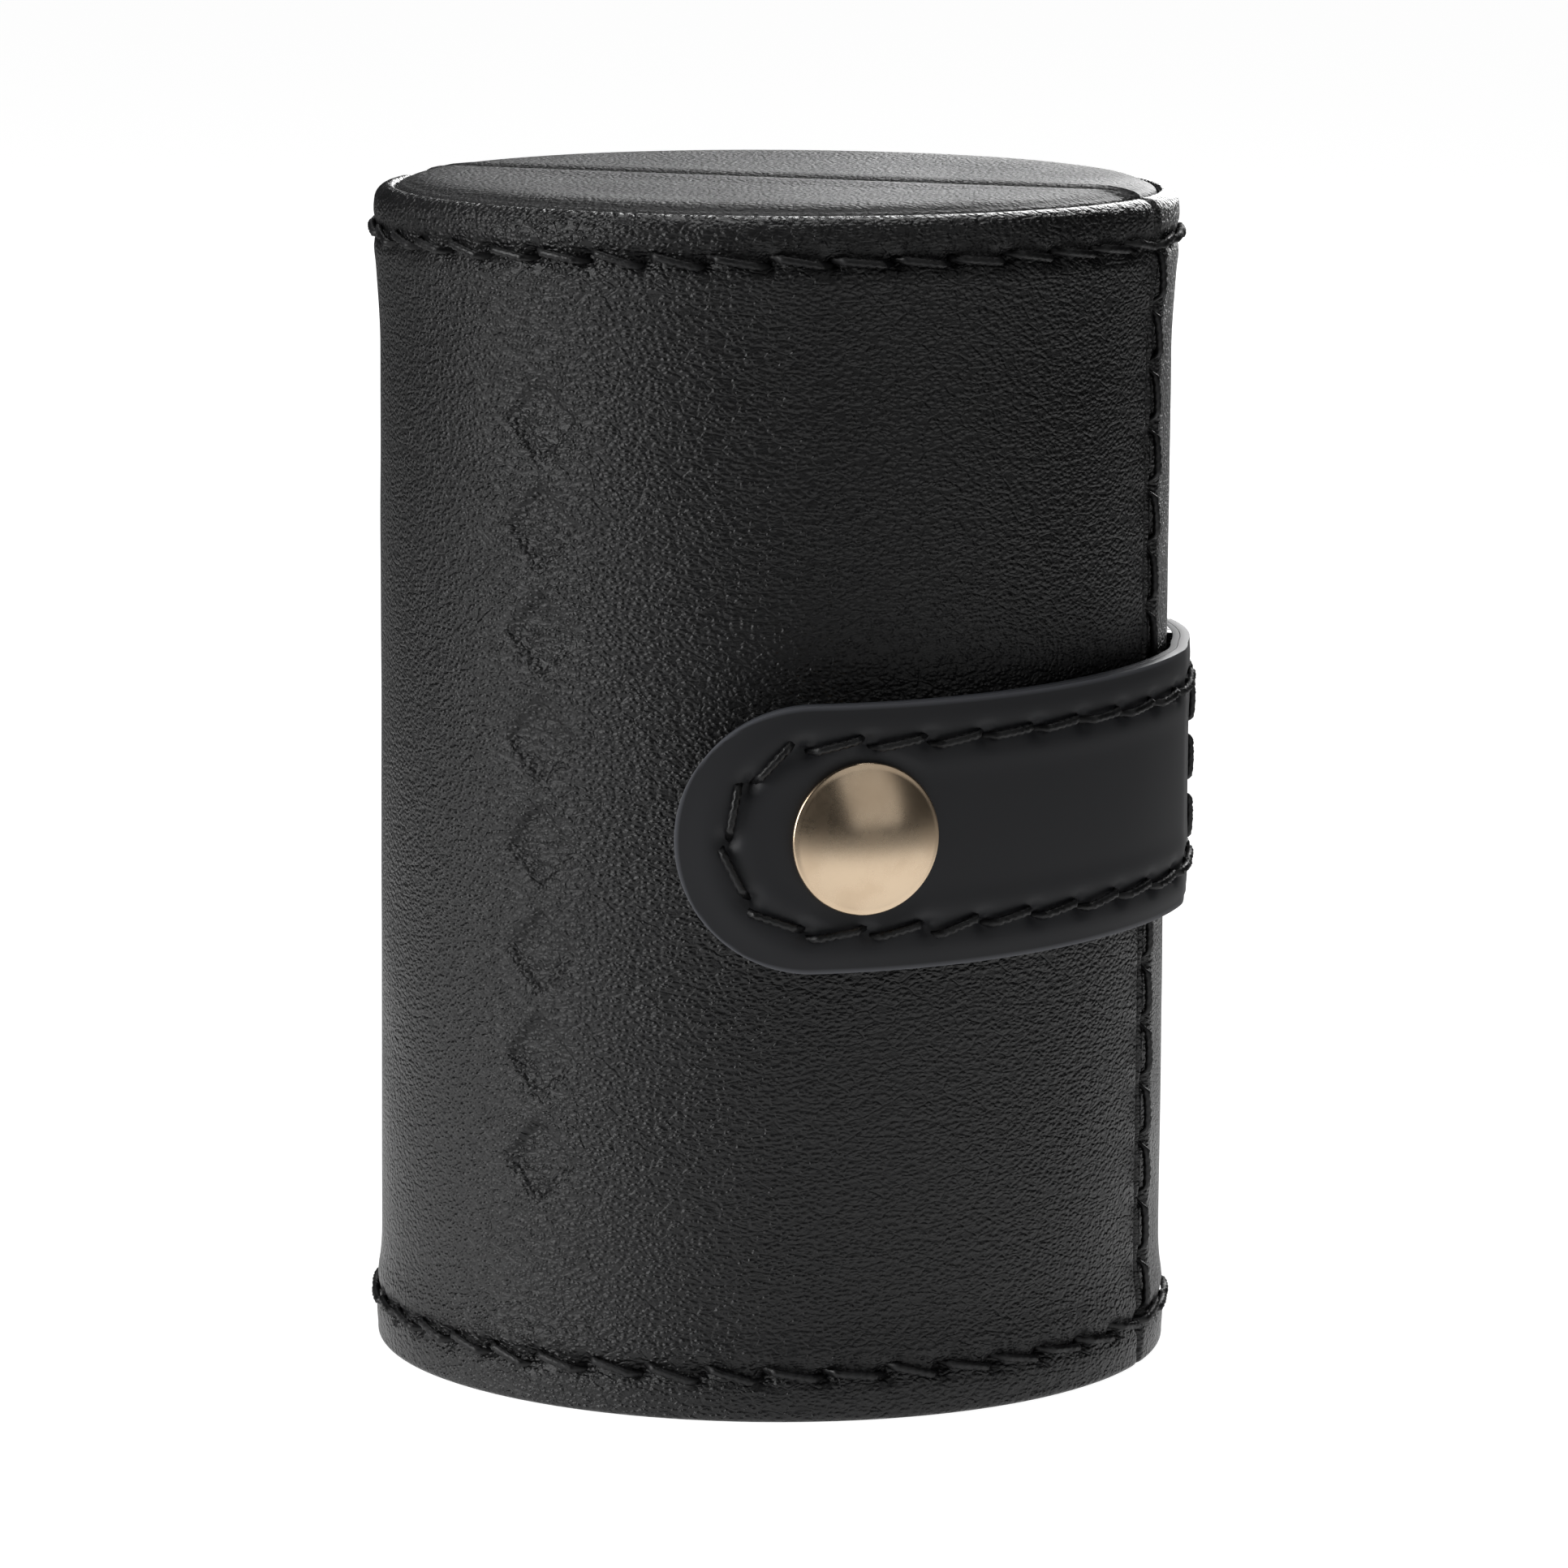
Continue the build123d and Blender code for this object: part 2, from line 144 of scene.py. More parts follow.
def clear_selection():
    if bpy.context.object and bpy.context.object.mode != "OBJECT":
        bpy.ops.object.mode_set(mode="OBJECT")
    bpy.ops.object.select_all(action="DESELECT")


def pick(piece):
    """Selects one piece alone and makes it the active one."""
    clear_selection()
    bpy.context.view_layer.objects.active = piece
    piece.select_set(True)


def start_piece(name, points, edges=(), faces=()):
    """A new mesh object, made the active one."""
    mesh = bpy.data.meshes.new(name)
    mesh.from_pydata(points, edges, faces)
    piece = bpy.data.objects.new(name, mesh)
    bpy.context.scene.collection.objects.link(piece)
    pick(piece)
    return piece


def turned(name, outline, turn, steps, closed=True, start=0.0):
    """An outline of (radius, height) points spun about the upright axis."""
    points = [(r * cos(start), r * sin(start), z) for r, z in outline]
    edges = [(i, i + 1) for i in range(len(outline) - 1)]
    if closed:
        edges.append((len(outline) - 1, 0))
    piece = start_piece(name, points, edges)
    bpy.ops.object.mode_set(mode="EDIT")
    bpy.ops.mesh.select_all(action="SELECT")
    bpy.ops.mesh.spin(steps=steps, angle=turn, center=(0, 0, 0), axis=(0, 0, -1))
    bpy.ops.mesh.select_all(action="SELECT")
    bpy.ops.mesh.remove_doubles(threshold=1e-6)
    bpy.ops.object.mode_set(mode="OBJECT")
    return piece


def close_and_smooth(piece, angle=35):
    """Fills the open ends, turns all faces outwards and smooths the round ones."""
    bm = bmesh.new()
    bm.from_mesh(piece.data)
    open_edges = [e for e in bm.edges if len(e.link_faces) == 1]
    if open_edges:
        bmesh.ops.holes_fill(bm, edges=open_edges, sides=0)
    bmesh.ops.recalc_face_normals(bm, faces=bm.faces)
    bm.to_mesh(piece.data)
    bm.free()
    pick(piece)
    bpy.ops.object.shade_smooth_by_angle(angle=radians(angle))


def hole_depth(along, across, step, first, count):
    """How far the leather sinks near a row of stitches, from places along and across the row."""
    end = first - step / 2 + count * step
    inside = ease((along - first + step) / (step / 2)) * ease((end + step / 2 - along) / (step / 2))
    nearest = first - step / 2 + round((along - first + step / 2) / step) * step
    nearest = min(max(nearest, first - step / 2), end)
    away = along - nearest
    hole = exp(-((away / (0.72 * mm)) ** 2) - (across / (0.62 * mm)) ** 2)
    groove = exp(-((across / (0.7 * mm)) ** 2)) * inside
    swell = exp(-(((abs(across) - 1.6 * mm) / (0.9 * mm)) ** 2)) * inside
    return 0.85 * mm * hole + 0.2 * mm * groove - 0.08 * mm * swell


def arc_places():
    """Places round a half, from 0 to 1, close together where the leather turns at the parting."""
    total = pi * wall
    steps = [0.11 * mm] * 9 + [0.3 * mm] * 5
    used = 2 * sum(steps)
    middle = round((total - used) / (0.43 * mm))
    steps = steps + [(total - used) / middle] * middle + steps[::-1]
    places = [0.0]
    for step in steps:
        places.append(places[-1] + step / total)
    return places


def wrap_outline():
    """The leather's section, going up the outside and down the inside."""
    levels = heights(foot_round, tall - rim_round, 11 * mm, 0.4 * mm, 0.45 * mm)
    lines = [(wall_at(z), z) for z in levels]
    lines += arc((top_rim - rim_round, tall - rim_round), rim_round, 0, 90, 8)[1:]
    lines += arc((top_hem_inner + 0.35 * mm, tall - 0.35 * mm), 0.35 * mm, 90, 180, 4)
    lines += [(top_hem_inner, tall - 3 * mm), (top_hem_inner, tall - hem)]
    lines += [(sheet_inner, tall - hem), (sheet_inner, hem)]
    lines += [(bottom_hem_inner, hem), (bottom_hem_inner, 3 * mm)]
    lines += arc((bottom_hem_inner + 0.25 * mm, 0.25 * mm), 0.25 * mm, 180, 270, 4)
    lines += arc((bottom_rim - foot_round, foot_round), foot_round, 270, 360, 6)[:-1]
    return lines


def lozenge_depth(angle, z):
    """A plain column of stamped lozenges down the left of the front."""
    u = abs(angle - stamp_angle) * wall
    if u > 4 * mm or not stamp_low < z < stamp_high:
        return 0.0
    v = ((z - stamp_low) % stamp_pitch) - stamp_pitch / 2
    out = u / (3.6 * mm) + abs(v) / (3.6 * mm)
    return 0.42 * mm * ease((1.0 - out) / 0.14)


def shaped_wrap(name, opening_row):
    """One half's leather: spun, then pressed in at the parting, the stitch holes and the hinge."""
    places = arc_places()
    steps = len(places) - 1
    piece = turned(name, wrap_outline(), pi, steps)
    edge = piece.data.attributes.new("edge", "FLOAT", "POINT")
    for vertex in piece.data.vertices:
        x, y, z = vertex.co
        radius = hypot(x, y)
        place = places[round(abs(atan2(y, x)) / pi * steps)]
        gap = asin(half_gap / radius)
        angle = gap + (pi - 2 * gap) * place
        at_rim = z < 1 * mm or z > tall - rim_band
        on_wall = radius > wall_at(z) - 0.01 * mm
        outside = radius > wall_at(z) - rim_band and (on_wall or at_rim)
        lip = min(angle - gap, pi - angle - gap) * radius
        edge_tone = ease(1 - lip / (1.6 * mm)) * 0.8 if angle < pi / 2 else 0
        edge_tone = max(edge_tone, ease(1 - (tall - z) / (1.8 * mm)), ease(1 - z / (1.6 * mm)))
        if outside:
            sink = 0.0
            for level in (top_row, bottom_row):
                if abs(z - level) < row_reach:
                    sink += hole_depth(
                        angle * wall, z - level, row_step * wall, row_first * wall, row_count
                    )
            if opening_row and angle < radians(12) and edge_low - 3 * mm < z < edge_high + 3 * mm:
                sink += hole_depth(z, (angle - edge_angle) * wall, edge_step, edge_low, edge_count)
            if not opening_row:
                sink += lozenge_depth(angle, z)
            wave = noise.noise(Vector((x, y, z)) * 55) + 0.5 * noise.noise(Vector((x, y, z)) * 140)
            sink += 0.05 * mm * wave * ease(lip / (3 * mm))
            if lip < lip_round and angle < pi / 2:
                sink += lip_round - sqrt(max(lip_round**2 - (lip_round - lip) ** 2, 0))
            if angle > pi / 2 and radius * sin(angle) < spine_width + 0.05 * mm:
                sink = spine_thick + 0.03 * mm
            if at_rim:
                z -= 0.6 * sink if z > tall / 2 else 0
                sink *= 0.4
            radius -= sink
        vertex.co = (radius * cos(angle), radius * sin(angle), z)
        edge.data[vertex.index].value = edge_tone
    return piece


def mirrored(piece, name):
    """The front half's twin of a back piece, with its own mesh."""
    twin = piece.copy()
    twin.data = piece.data.copy()
    twin.name = name
    twin.data.name = name
    bpy.context.scene.collection.objects.link(twin)
    twin.data.transform(Matrix.Scale(-1, 4, (0, 1, 0)))
    twin.data.flip_normals()
    return twin


def node(tree, kind, plugs={}, **settings):
    """Adds a shader node, sets its options and plugs in values or other nodes."""
    made = tree.nodes.new("ShaderNode" + kind)
    for key, value in settings.items():
        setattr(made, key, value)
    for key, value in plugs.items():
        if isinstance(value, bpy.types.NodeSocket):
            tree.links.new(value, made.inputs[key])
        else:
            made.inputs[key].default_value = value
    return made


def sums(tree, operation, a, b=0.0, c=0.0, clamp=False):
    """One step of arithmetic on masks and heights."""
    return node(tree, "Math", {0: a, 1: b, 2: c}, operation=operation, use_clamp=clamp).outputs[0]


def span(tree, value, low, high, to_low=0.0, to_high=1.0):
    """Stretches a range of a pattern to another range, with soft ends."""
    plugs = {"Value": value, "From Min": low, "From Max": high, "To Min": to_low, "To Max": to_high}
    return node(tree, "MapRange", plugs, interpolation_type="SMOOTHSTEP").outputs["Result"]


def blend_colors(tree, amount, a, b):
    return node(tree, "Mix", {0: amount, 6: a, 7: b}, data_type="RGBA").outputs[2]


def noisy(tree, place, scale, detail, **more):
    """A cloudy or fibrous mask."""
    plugs = {"Vector": place, "Scale": scale, "Detail": detail, **more}
    return node(tree, "TexNoise", plugs).outputs["Fac"]


def own_place(tree):
    return node(tree, "TexCoord").outputs["Object"]


def new_group(name, inputs, outputs):
    """A shader group with named sockets. Returns its tree, its inputs and its output node."""
    tree = bpy.data.node_groups.new(name, "ShaderNodeTree")
    kinds = {"v": "NodeSocketVector", "f": "NodeSocketFloat", "c": "NodeSocketColor"}
    for label, kind in inputs:
        tree.interface.new_socket(label, in_out="INPUT", socket_type=kinds[kind])
    for label, kind in outputs:
        tree.interface.new_socket(label, in_out="OUTPUT", socket_type=kinds[kind])
    return tree, tree.nodes.new("NodeGroupInput").outputs, tree.nodes.new("NodeGroupOutput").inputs


def pebbled_leather():
    """Leather grain: small pebbles parted by fine creases, with soft mottling and an edge colour
    that is wear on the case and a painted reflection on the strap's cut edges.
    """
    tree, inner, outer = new_group(
        "pebbled_leather",
        [("Vector", "v"), ("Pebbles", "f"), ("Edge", "f"), ("Body", "c"), ("Wear and sheen", "c")],
        [("Color", "c"), ("Roughness", "f"), ("Height", "f")],
    )
    taller = {0: inner["Vector"], 1: (1.0, 1.0, 1.55)}
    place = node(tree, "VectorMath", taller, operation="MULTIPLY").outputs[0]
    drift = node(tree, "TexNoise", {"Vector": place, "Scale": 900.0, "Detail": 2.0})
    shift = node(
        tree, "VectorMath", {0: drift.outputs["Color"], 1: (0.0004,) * 3, 2: place},
        operation="MULTIPLY_ADD",
    ).outputs[0]
    cells = node(tree, "TexVoronoi", {"Vector": shift, "Scale": inner["Pebbles"]})
    domes = span(tree, cells.outputs["Distance"], 0.75, 0.05)
    wide = sums(tree, "MULTIPLY", inner["Pebbles"], 0.31)
    folds = node(
        tree, "TexVoronoi", {"Vector": shift, "Scale": wide}, feature="DISTANCE_TO_EDGE"
    )
    creases = span(tree, folds.outputs["Distance"], 0.0, 0.1)
    fine = noisy(tree, place, 6500.0, 3.0)
    broad = noisy(tree, place, 70.0, 4.0)
    height = sums(tree, "MULTIPLY_ADD", domes, 0.7, sums(tree, "MULTIPLY", fine, 0.35))
    height = sums(tree, "MULTIPLY_ADD", creases, 0.25, height)
    mottle = span(tree, broad, 0.3, 0.7)
    # edge colour mask: wear on the case, a painted reflection of the left soft box on the strap's
    # cut edges
    wear_and_sheen = sums(tree, "MULTIPLY", inner["Edge"], span(tree, broad, 0.25, 0.6, 0.35, 1.0))
    tone = sums(tree, "MULTIPLY_ADD", mottle, 0.18, sums(tree, "MULTIPLY", wear_and_sheen, 0.8), clamp=True)
    tree.links.new(blend_colors(tree, tone, inner["Body"], inner["Wear and sheen"]), outer["Color"])
    rough = sums(tree, "MULTIPLY_ADD", mottle, 0.08, 0.3)
    rough = sums(tree, "MULTIPLY_ADD", domes, -0.06, rough)
    rough = sums(tree, "MULTIPLY_ADD", wear_and_sheen, -0.08, rough)
    tree.links.new(rough, outer["Roughness"])
    tree.links.new(height, outer["Height"])
    return tree


leather_group = pebbled_leather()


def surface(name, **settings):
    """A material with its Principled shader and output, ready for colours and bumps."""
    made = bpy.data.materials.new(name)
    made.use_nodes = True
    tree = made.node_tree
    shader = tree.nodes["Principled BSDF"]
    for key, value in settings.items():
        shader.inputs[key.replace("_", " ")].default_value = value
    return made, tree, shader


def painted(tree, shader, color, rough):
    """Plugs a colour and a roughness that change over the surface into the shader."""
    tree.links.new(color, shader.inputs["Base Color"])
    tree.links.new(rough, shader.inputs["Roughness"])


def bump(tree, shader, height, strength, distance):
    plugs = {"Height": height, "Strength": strength, "Distance": distance}
    tree.links.new(node(tree, "Bump", plugs).outputs["Normal"], shader.inputs["Normal"])


def leather_finish(name, body, edge_tone, pebbles, depth, place=None, rough=0.0, gloss=0.5):
    """A leather of the case, on the piece's own place in space or on a flat-pattern attribute."""
    made, tree, shader = surface(name, Specular_IOR_Level=gloss)
    if place:
        where = node(tree, "Attribute", attribute_name=place).outputs["Vector"]
    else:
        where = own_place(tree)
    edge = node(tree, "Attribute", attribute_name="edge").outputs["Fac"]
    grain = tree.nodes.new("ShaderNodeGroup")
    grain.node_tree = leather_group
    for key, value in (("Vector", where), ("Edge", edge)):
        tree.links.new(value, grain.inputs[key])
    grain.inputs["Pebbles"].default_value = pebbles
    grain.inputs["Body"].default_value = (*body, 1)
    # the edge colour: wear on the case's leather, a painted reflection of the left soft box on the
    # strap
    grain.inputs["Wear and sheen"].default_value = (*edge_tone, 1)
    dulled = sums(tree, "ADD", grain.outputs["Roughness"], rough, clamp=True)
    painted(tree, shader, grain.outputs["Color"], dulled)
    bump(tree, shader, grain.outputs["Height"], 1.0, depth)
    return made


def dress(piece, material):
    piece.data.materials.clear()
    piece.data.materials.append(material)


def fitted(piece, material, cad, body=None):
    """Dresses a finished piece, hides the CAD part it stands for and hangs it on the body it moves
    with.
    """
    dress(piece, material)
    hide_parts(cad)
    if body:
        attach(piece, body)


def worked(piece, *modifiers):
    """Adds modifiers to a piece and applies them in turn."""
    pick(piece)
    for kind, settings in modifiers:
        step = piece.modifiers.new(kind.lower(), kind)
        for key, value in settings.items():
            setattr(step, key, value)
        bpy.ops.object.modifier_apply(modifier=step.name)


def rounded(width, segments, angle=50):
    """The bevel that takes the sharpness off a piece's edges."""
    limit = radians(angle)
    return (
        "BEVEL",
        {"width": width, "segments": segments, "limit_method": "ANGLE", "angle_limit": limit},
    )


black = (0.0055, 0.0055, 0.006)
black_worn = (0.018, 0.018, 0.019)
pebbles, grain = 1900.0, 0.15 * mm
wall_leather = leather_finish("wall_leather", black, black_worn, pebbles, grain)

back_wrap = shaped_wrap("back_leather", True)
front_wrap = mirrored(shaped_wrap("front_leather_turned", False), "front_leather")
bpy.data.objects.remove(bpy.data.objects["front_leather_turned"])
for wrap, body, cad in (
    (back_wrap, "back_half", "back_wrap"),
    (front_wrap, "front_half", "front_wrap"),
):
    close_and_smooth(wrap)
    fitted(wrap, wall_leather, cad, body)
    middle_y = (half_gap + leather / 2) * (1 if body == "back_half" else -1)
    for side, label in ((1, "opening"), (-1, "hinge")):
        clear_selection()
        bpy.ops.mesh.primitive_cube_add(
            size=1,
            scale=(sheet_inner - board_inner, leather, tall - 2 * hem),
            location=(side * (sheet_inner + board_inner) / 2, middle_y, tall / 2),
        )
        turn_in = bpy.context.object
        turn_in.name = body + "_turned_edge_" + label
        bpy.ops.object.transform_apply(location=True, rotation=True, scale=True)
        worked(turn_in, rounded(0.3 * mm, 3, 30))
        close_and_smooth(turn_in)
        fitted(turn_in, wall_leather, cad, body)


# ---- End covers ----
# Each end of a half is closed by a half-round board under thin foam, covered in the same leather.
# The lid's covers stand just proud of the rim, soft at every edge, and the base's are let in.
def half_round(name, radius, flat, low, high, sides):
    """A disc between two heights, cut flat at the parting and left open in edit mode."""
    clear_selection()
    bpy.ops.mesh.primitive_cylinder_add(
        vertices=sides, radius=radius, depth=high - low, location=(0, 0, (low + high) / 2)
    )
    piece = bpy.context.object
    piece.name = name
    bpy.ops.object.transform_apply(location=True, rotation=True, scale=True)
    bpy.ops.object.mode_set(mode="EDIT")
    bpy.ops.mesh.select_all(action="SELECT")
    bpy.ops.mesh.bisect(plane_co=(0, flat, 0), plane_no=(0, 1, 0), use_fill=True, clear_inner=True)
    return piece


def half_disc(name, radius, flat, low, high, bevels, crown):
    """A covered half-round board: cut from a disc, its edges rounded and its face crowned."""
    piece = half_round(name, radius, flat, low, high, 240)
    bm = bmesh.from_edit_mesh(piece.data)
    face_level = high if crown > 0 else low
    corners = [
        e for e in bm.edges
        if abs(e.verts[0].co.z - e.verts[1].co.z) > 0.5 * (high - low)
        and all(abs(v.co.y - flat) < 1e-6 for v in e.verts)
    ]
    bmesh.ops.bevel(bm, geom=corners, offset=0.9 * mm, segments=4, affect="EDGES", profile=0.5)
    rim = [e for e in bm.edges if all(abs(v.co.z - face_level) < 1e-6 for v in e.verts)]
    rim = [e for e in rim if len({abs(f.normal.z) > 0.9 for f in e.link_faces}) == 2]
    bmesh.ops.bevel(bm, geom=rim, offset=bevels, segments=5, affect="EDGES", profile=0.5)
    side = 1 if crown > 0 else -1
    face = max(bm.faces, key=lambda f: f.calc_area() * (f.normal.z * side))
    middle = Vector((0, radius * 0.42, face_level))
    before = 1.0
    rings = ((0.985, 0.3), (0.955, 0.3), (0.91, 0.2), (0.84, 0.12), (0.72, 0.08), (0.5, 0))
    for size, lift in rings:
        face = bmesh.ops.extrude_discrete_faces(bm, faces=[face])["faces"][0]
        for v in face.verts:
            v.co = middle + (v.co - middle) * (size / before) + Vector((0, 0, lift * crown))
        before = size
    bmesh.update_edit_mesh(piece.data)
    bpy.ops.object.mode_set(mode="OBJECT")
    edge = piece.data.attributes.new("edge", "FLOAT", "POINT")
    for v in piece.data.vertices:
        inward = min(radius - hypot(v.co.x, v.co.y), v.co.y - flat)
        edge.data[v.index].value = ease(1 - inward / (1.4 * mm))
    return piece


lid_low, lid_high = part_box("back_top_cover")
base_low, base_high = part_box("back_bottom_cover")
cover_deep = 3 * mm
lid_leather = leather_finish(
    "lid_leather", (0.016, 0.016, 0.0165), (0.04, 0.04, 0.041), 2300.0, 0.1 * mm,
    rough=0.2, gloss=0.33,
)
for half, body, side in (("back", "back_half", 1), ("front", "front_half", -1)):
    lid = half_disc(
        "lid_cover", lid_high.x, lid_low.y,
        lid_high.z - cover_deep, lid_high.z - 0.5 * mm, 0.75 * mm, 0.72 * mm,
    )
    base = half_disc(
        "base_cover", base_high.x, base_low.y,
        base_low.z, base_low.z + cover_deep, 0.5 * mm, -0.02 * mm,
    )
    for cover, label, cad in (
        (lid, "lid_cover", "top_cover"), (base, "base_cover", "bottom_cover"),
    ):
        if side < 0:
            twin = mirrored(cover, "turned")
            bpy.data.objects.remove(cover)
            cover = twin
        cover.name = half + "_" + label
        close_and_smooth(cover, 40)
        fitted(cover, lid_leather, half + "_" + cad, body)


# ---- Hinge strip ----
# A strip of thin leather, let in flush over the back of both halves, is the hinge. In the real
# case it folds on itself when the case lies open; here it is one fixed piece that moves with
# neither half.
strip_low, strip_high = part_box("hinge_spine")
clear_selection()
bpy.ops.mesh.primitive_grid_add(x_subdivisions=32, y_subdivisions=120, size=1)
strip = bpy.context.object
strip.name = "hinge_strip"
flat_place = strip.data.attributes.new("flat", "FLOAT_VECTOR", "POINT")
for v in strip.data.vertices:
    y = v.co.x * 2 * spine_width
    z = strip_low.z + (v.co.y + 0.5) * (strip_high.z - strip_low.z)
    r = wall_at(z) + 0.02 * mm - 0.12 * mm * exp(-((y / (0.7 * mm)) ** 2))
    v.co = (-sqrt(r * r - y * y), y, z)
    flat_place.data[v.index].vector = (0.05, y, z)
worked(
    strip,
    ("SOLIDIFY", {"thickness": spine_thick, "offset": -1.0}),
    rounded(0.12 * mm, 2, 30),
)
if sum(f.normal.x * f.area for f in strip.data.polygons if f.center.x < -wall + 0.15 * mm) > 0:
    strip.data.flip_normals()
close_and_smooth(strip, 40)
strip_leather = leather_finish("strip_leather", black, black_worn, pebbles, grain, place="flat")
fitted(strip, strip_leather, "hinge_spine")
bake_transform(strip)


# ---- Stitching on the case ----
# Waxed black thread of three twisted strands. Each stitch comes up out of one hole, lies proud
# of the leather on a slight slant, and dives into the next.
thread = 0.68 * mm
overlap = 1.03
sunk = 0.12 * mm


def one_stitch(length):
    """One stitch along X with its strands twisted round each other and its ends in the leather."""
    clear_selection()
    bpy.ops.mesh.primitive_cylinder_add(
        vertices=10, radius=thread / 2, depth=length, rotation=(0, pi / 2, 0)
    )
    piece = bpy.context.object
    bpy.ops.object.transform_apply(location=True, rotation=True, scale=True)
    bm = bmesh.new()
    bm.from_mesh(piece.data)
    long_edges = [e for e in bm.edges if abs(e.verts[0].co.x - e.verts[1].co.x) > length / 2]
    bmesh.ops.subdivide_edges(bm, edges=long_edges, cuts=21, use_grid_fill=True)
    for v in bm.verts:
        around = atan2(v.co.z, v.co.y) - 2 * pi * v.co.x / (2.2 * mm)
        lobe = 0.58 + 0.54 * abs(cos(1.5 * around))
        end = (length / 2 - abs(v.co.x)) / (1.0 * mm)
        lobe *= 0.8 + 0.2 * ease(end)
        lift = -0.8 * mm + 0.98 * mm * ease(end) + 0.2 * mm * cos(pi * v.co.x / length)
        v.co.y = v.co.y * lobe + 0.17 * v.co.x
        v.co.z = v.co.z * lobe * 0.92 + lift
    for f in bm.faces:
        f.smooth = True
    bm.to_mesh(piece.data)
    bm.free()
    mesh = piece.data
    bpy.data.objects.remove(piece)
    return mesh


def frame_at(centre, along, out):
    """Places a stitch: its X runs along the row and its Z stands off the leather."""
    x, z = Vector(along).normalized(), Vector(out).normalized()
    y = z.cross(x)
    return Matrix(((x.x, y.x, z.x, centre[0]), (x.y, y.y, z.y, centre[1]),
                   (x.z, y.z, z.z, centre[2]), (0, 0, 0, 1)))


def sewn(name, stitch, places):
    """One row of stitches as one piece, each a copy with a little of the hand's unevenness."""
    bm = bmesh.new()
    for i, place in enumerate(places):
        first = len(bm.verts)
        bm.from_mesh(stitch)
        bm.verts.ensure_lookup_table()
        uneven = Vector((i * 7.3, first * 0.01, 2.1)) * 0.37
        sway = noise.noise(uneven) * radians(14)
        shift = Vector((0, noise.noise(uneven * 1.7), 0.6 * noise.noise(uneven * 2.3))) * 0.22 * mm
        move = place @ Matrix.Translation(shift) @ Matrix.Rotation(sway, 4, "Z")
        bmesh.ops.transform(bm, matrix=move, verts=bm.verts[first:])
    piece = start_piece(name, [])
    bm.to_mesh(piece.data)
    bm.free()
    return piece


def heading(angle):
    return Vector((cos(angle), sin(angle), 0))


rim_stitch = one_stitch(row_step * wall * overlap)
rim_places = []
for level in (top_row, bottom_row):
    for i in range(row_count):
        angle = row_first + i * row_step
        centre = heading(angle) * (wall_at(level) - sunk) + Vector((0, 0, level))
        rim_places.append(frame_at(centre, heading(angle + pi / 2), heading(angle)))
edge_stitch = one_stitch(edge_step * overlap)
edge_places = []
for i in range(edge_count):
    level = edge_low + i * edge_step
    centre = heading(edge_angle) * (wall_at(level) - sunk) + Vector((0, 0, level))
    edge_places.append(frame_at(centre, (0, 0, 1), heading(edge_angle)))

thread_finish, tree, shader = surface("waxed_thread")
where = own_place(tree)
fibres = noisy(tree, where, 5200.0, 3.0)
wax = noisy(tree, where, 500.0, 2.0)
tint = blend_colors(
    tree, span(tree, wax, 0.35, 0.7), (0.004, 0.004, 0.0045, 1), (0.012, 0.012, 0.013, 1)
)
painted(tree, shader, tint, span(tree, wax, 0.3, 0.7, 0.34, 0.55))
bump(tree, shader, fibres, 0.5, 0.05 * mm)

back_rim_thread = sewn("back_rim_thread", rim_stitch, rim_places)
front_rim_thread = mirrored(back_rim_thread, "front_rim_thread")
edge_thread = sewn("opening_edge_thread", edge_stitch, edge_places)
for row, cad, body in (
    (back_rim_thread, "back_rim_stitching", "back_half"),
    (front_rim_thread, "front_rim_stitching", "front_half"),
    (edge_thread, "opening_edge_stitching", "back_half"),
):
    fitted(row, thread_finish, cad, body)


# ---- Snap strap ----
# A strap of smooth leather on a thin backing, cut with a round tip and left raw at its edges,
# which are rounded and burnished; their light blue-grey is a painted reflection of the left soft
# box, faint at the root and strongest towards the tip. It is folded under and box-stitched to
# the back half, and stands off the front a little where the snap holds it.
strap_width = 20.9 * mm
strap_level = 47.2 * mm
strap_backing = 0.6 * mm
strap_thick = 1.4 * mm
root_angle = radians(21.3)
root_end_angle = radians(36.1)
root_radius = 33.0 * mm
strap_arcs = ((33.0 * mm, radians(-11.3)), (41.0 * mm, radians(-48.9)), (27.0 * mm, radians(-79.2)))
strap_length = 0
turn_start = root_angle
for arc_radius, arc_end in strap_arcs:
    strap_length += arc_radius * (turn_start - arc_end)
    turn_start = arc_end
snap_distance = strap_length - strap_arcs[2][0] * (strap_arcs[1][1] - strap_arcs[2][1])
root_length = root_radius * (root_end_angle - root_angle)
row_half = strap_width / 2 - 3.1 * mm
row_centre = strap_length - 4.0 * mm - row_half
row_start = 1.0 * mm
row_straight = row_centre - row_start
row_total = 2 * row_straight + pi * row_half
strap_stitches = round(row_total / (4.9 * mm))
strap_step = row_total / strap_stitches


def strap_at(distance, offset):
    """A point this far along the strap and this far off its inner face, and its direction."""
    if distance <= 0:
        angle = root_angle - distance / root_radius
        return heading(angle) * (root_radius + offset), angle
    centre, start, before = Vector((0, 0, 0)), root_angle, strap_arcs[0][0]
    for radius, end in strap_arcs:
        centre = centre + heading(start) * (before - radius)
        length = radius * (start - end)
        if distance <= length or end == strap_arcs[-1][1]:
            angle = start - distance / radius
            return centre + heading(angle) * (radius + offset), angle
        distance -= length
        start, before = end, radius


snap_seat, snap_angle = strap_at(snap_distance, strap_thick)
snap_out = heading(snap_angle)
snap_middle = snap_seat + Vector((0, 0, strap_level))


def strap_rise(s):
    """The strap climbs a little towards its root."""
    return 0.85 * mm * ease(1 - max(s, 0) / snap_distance)


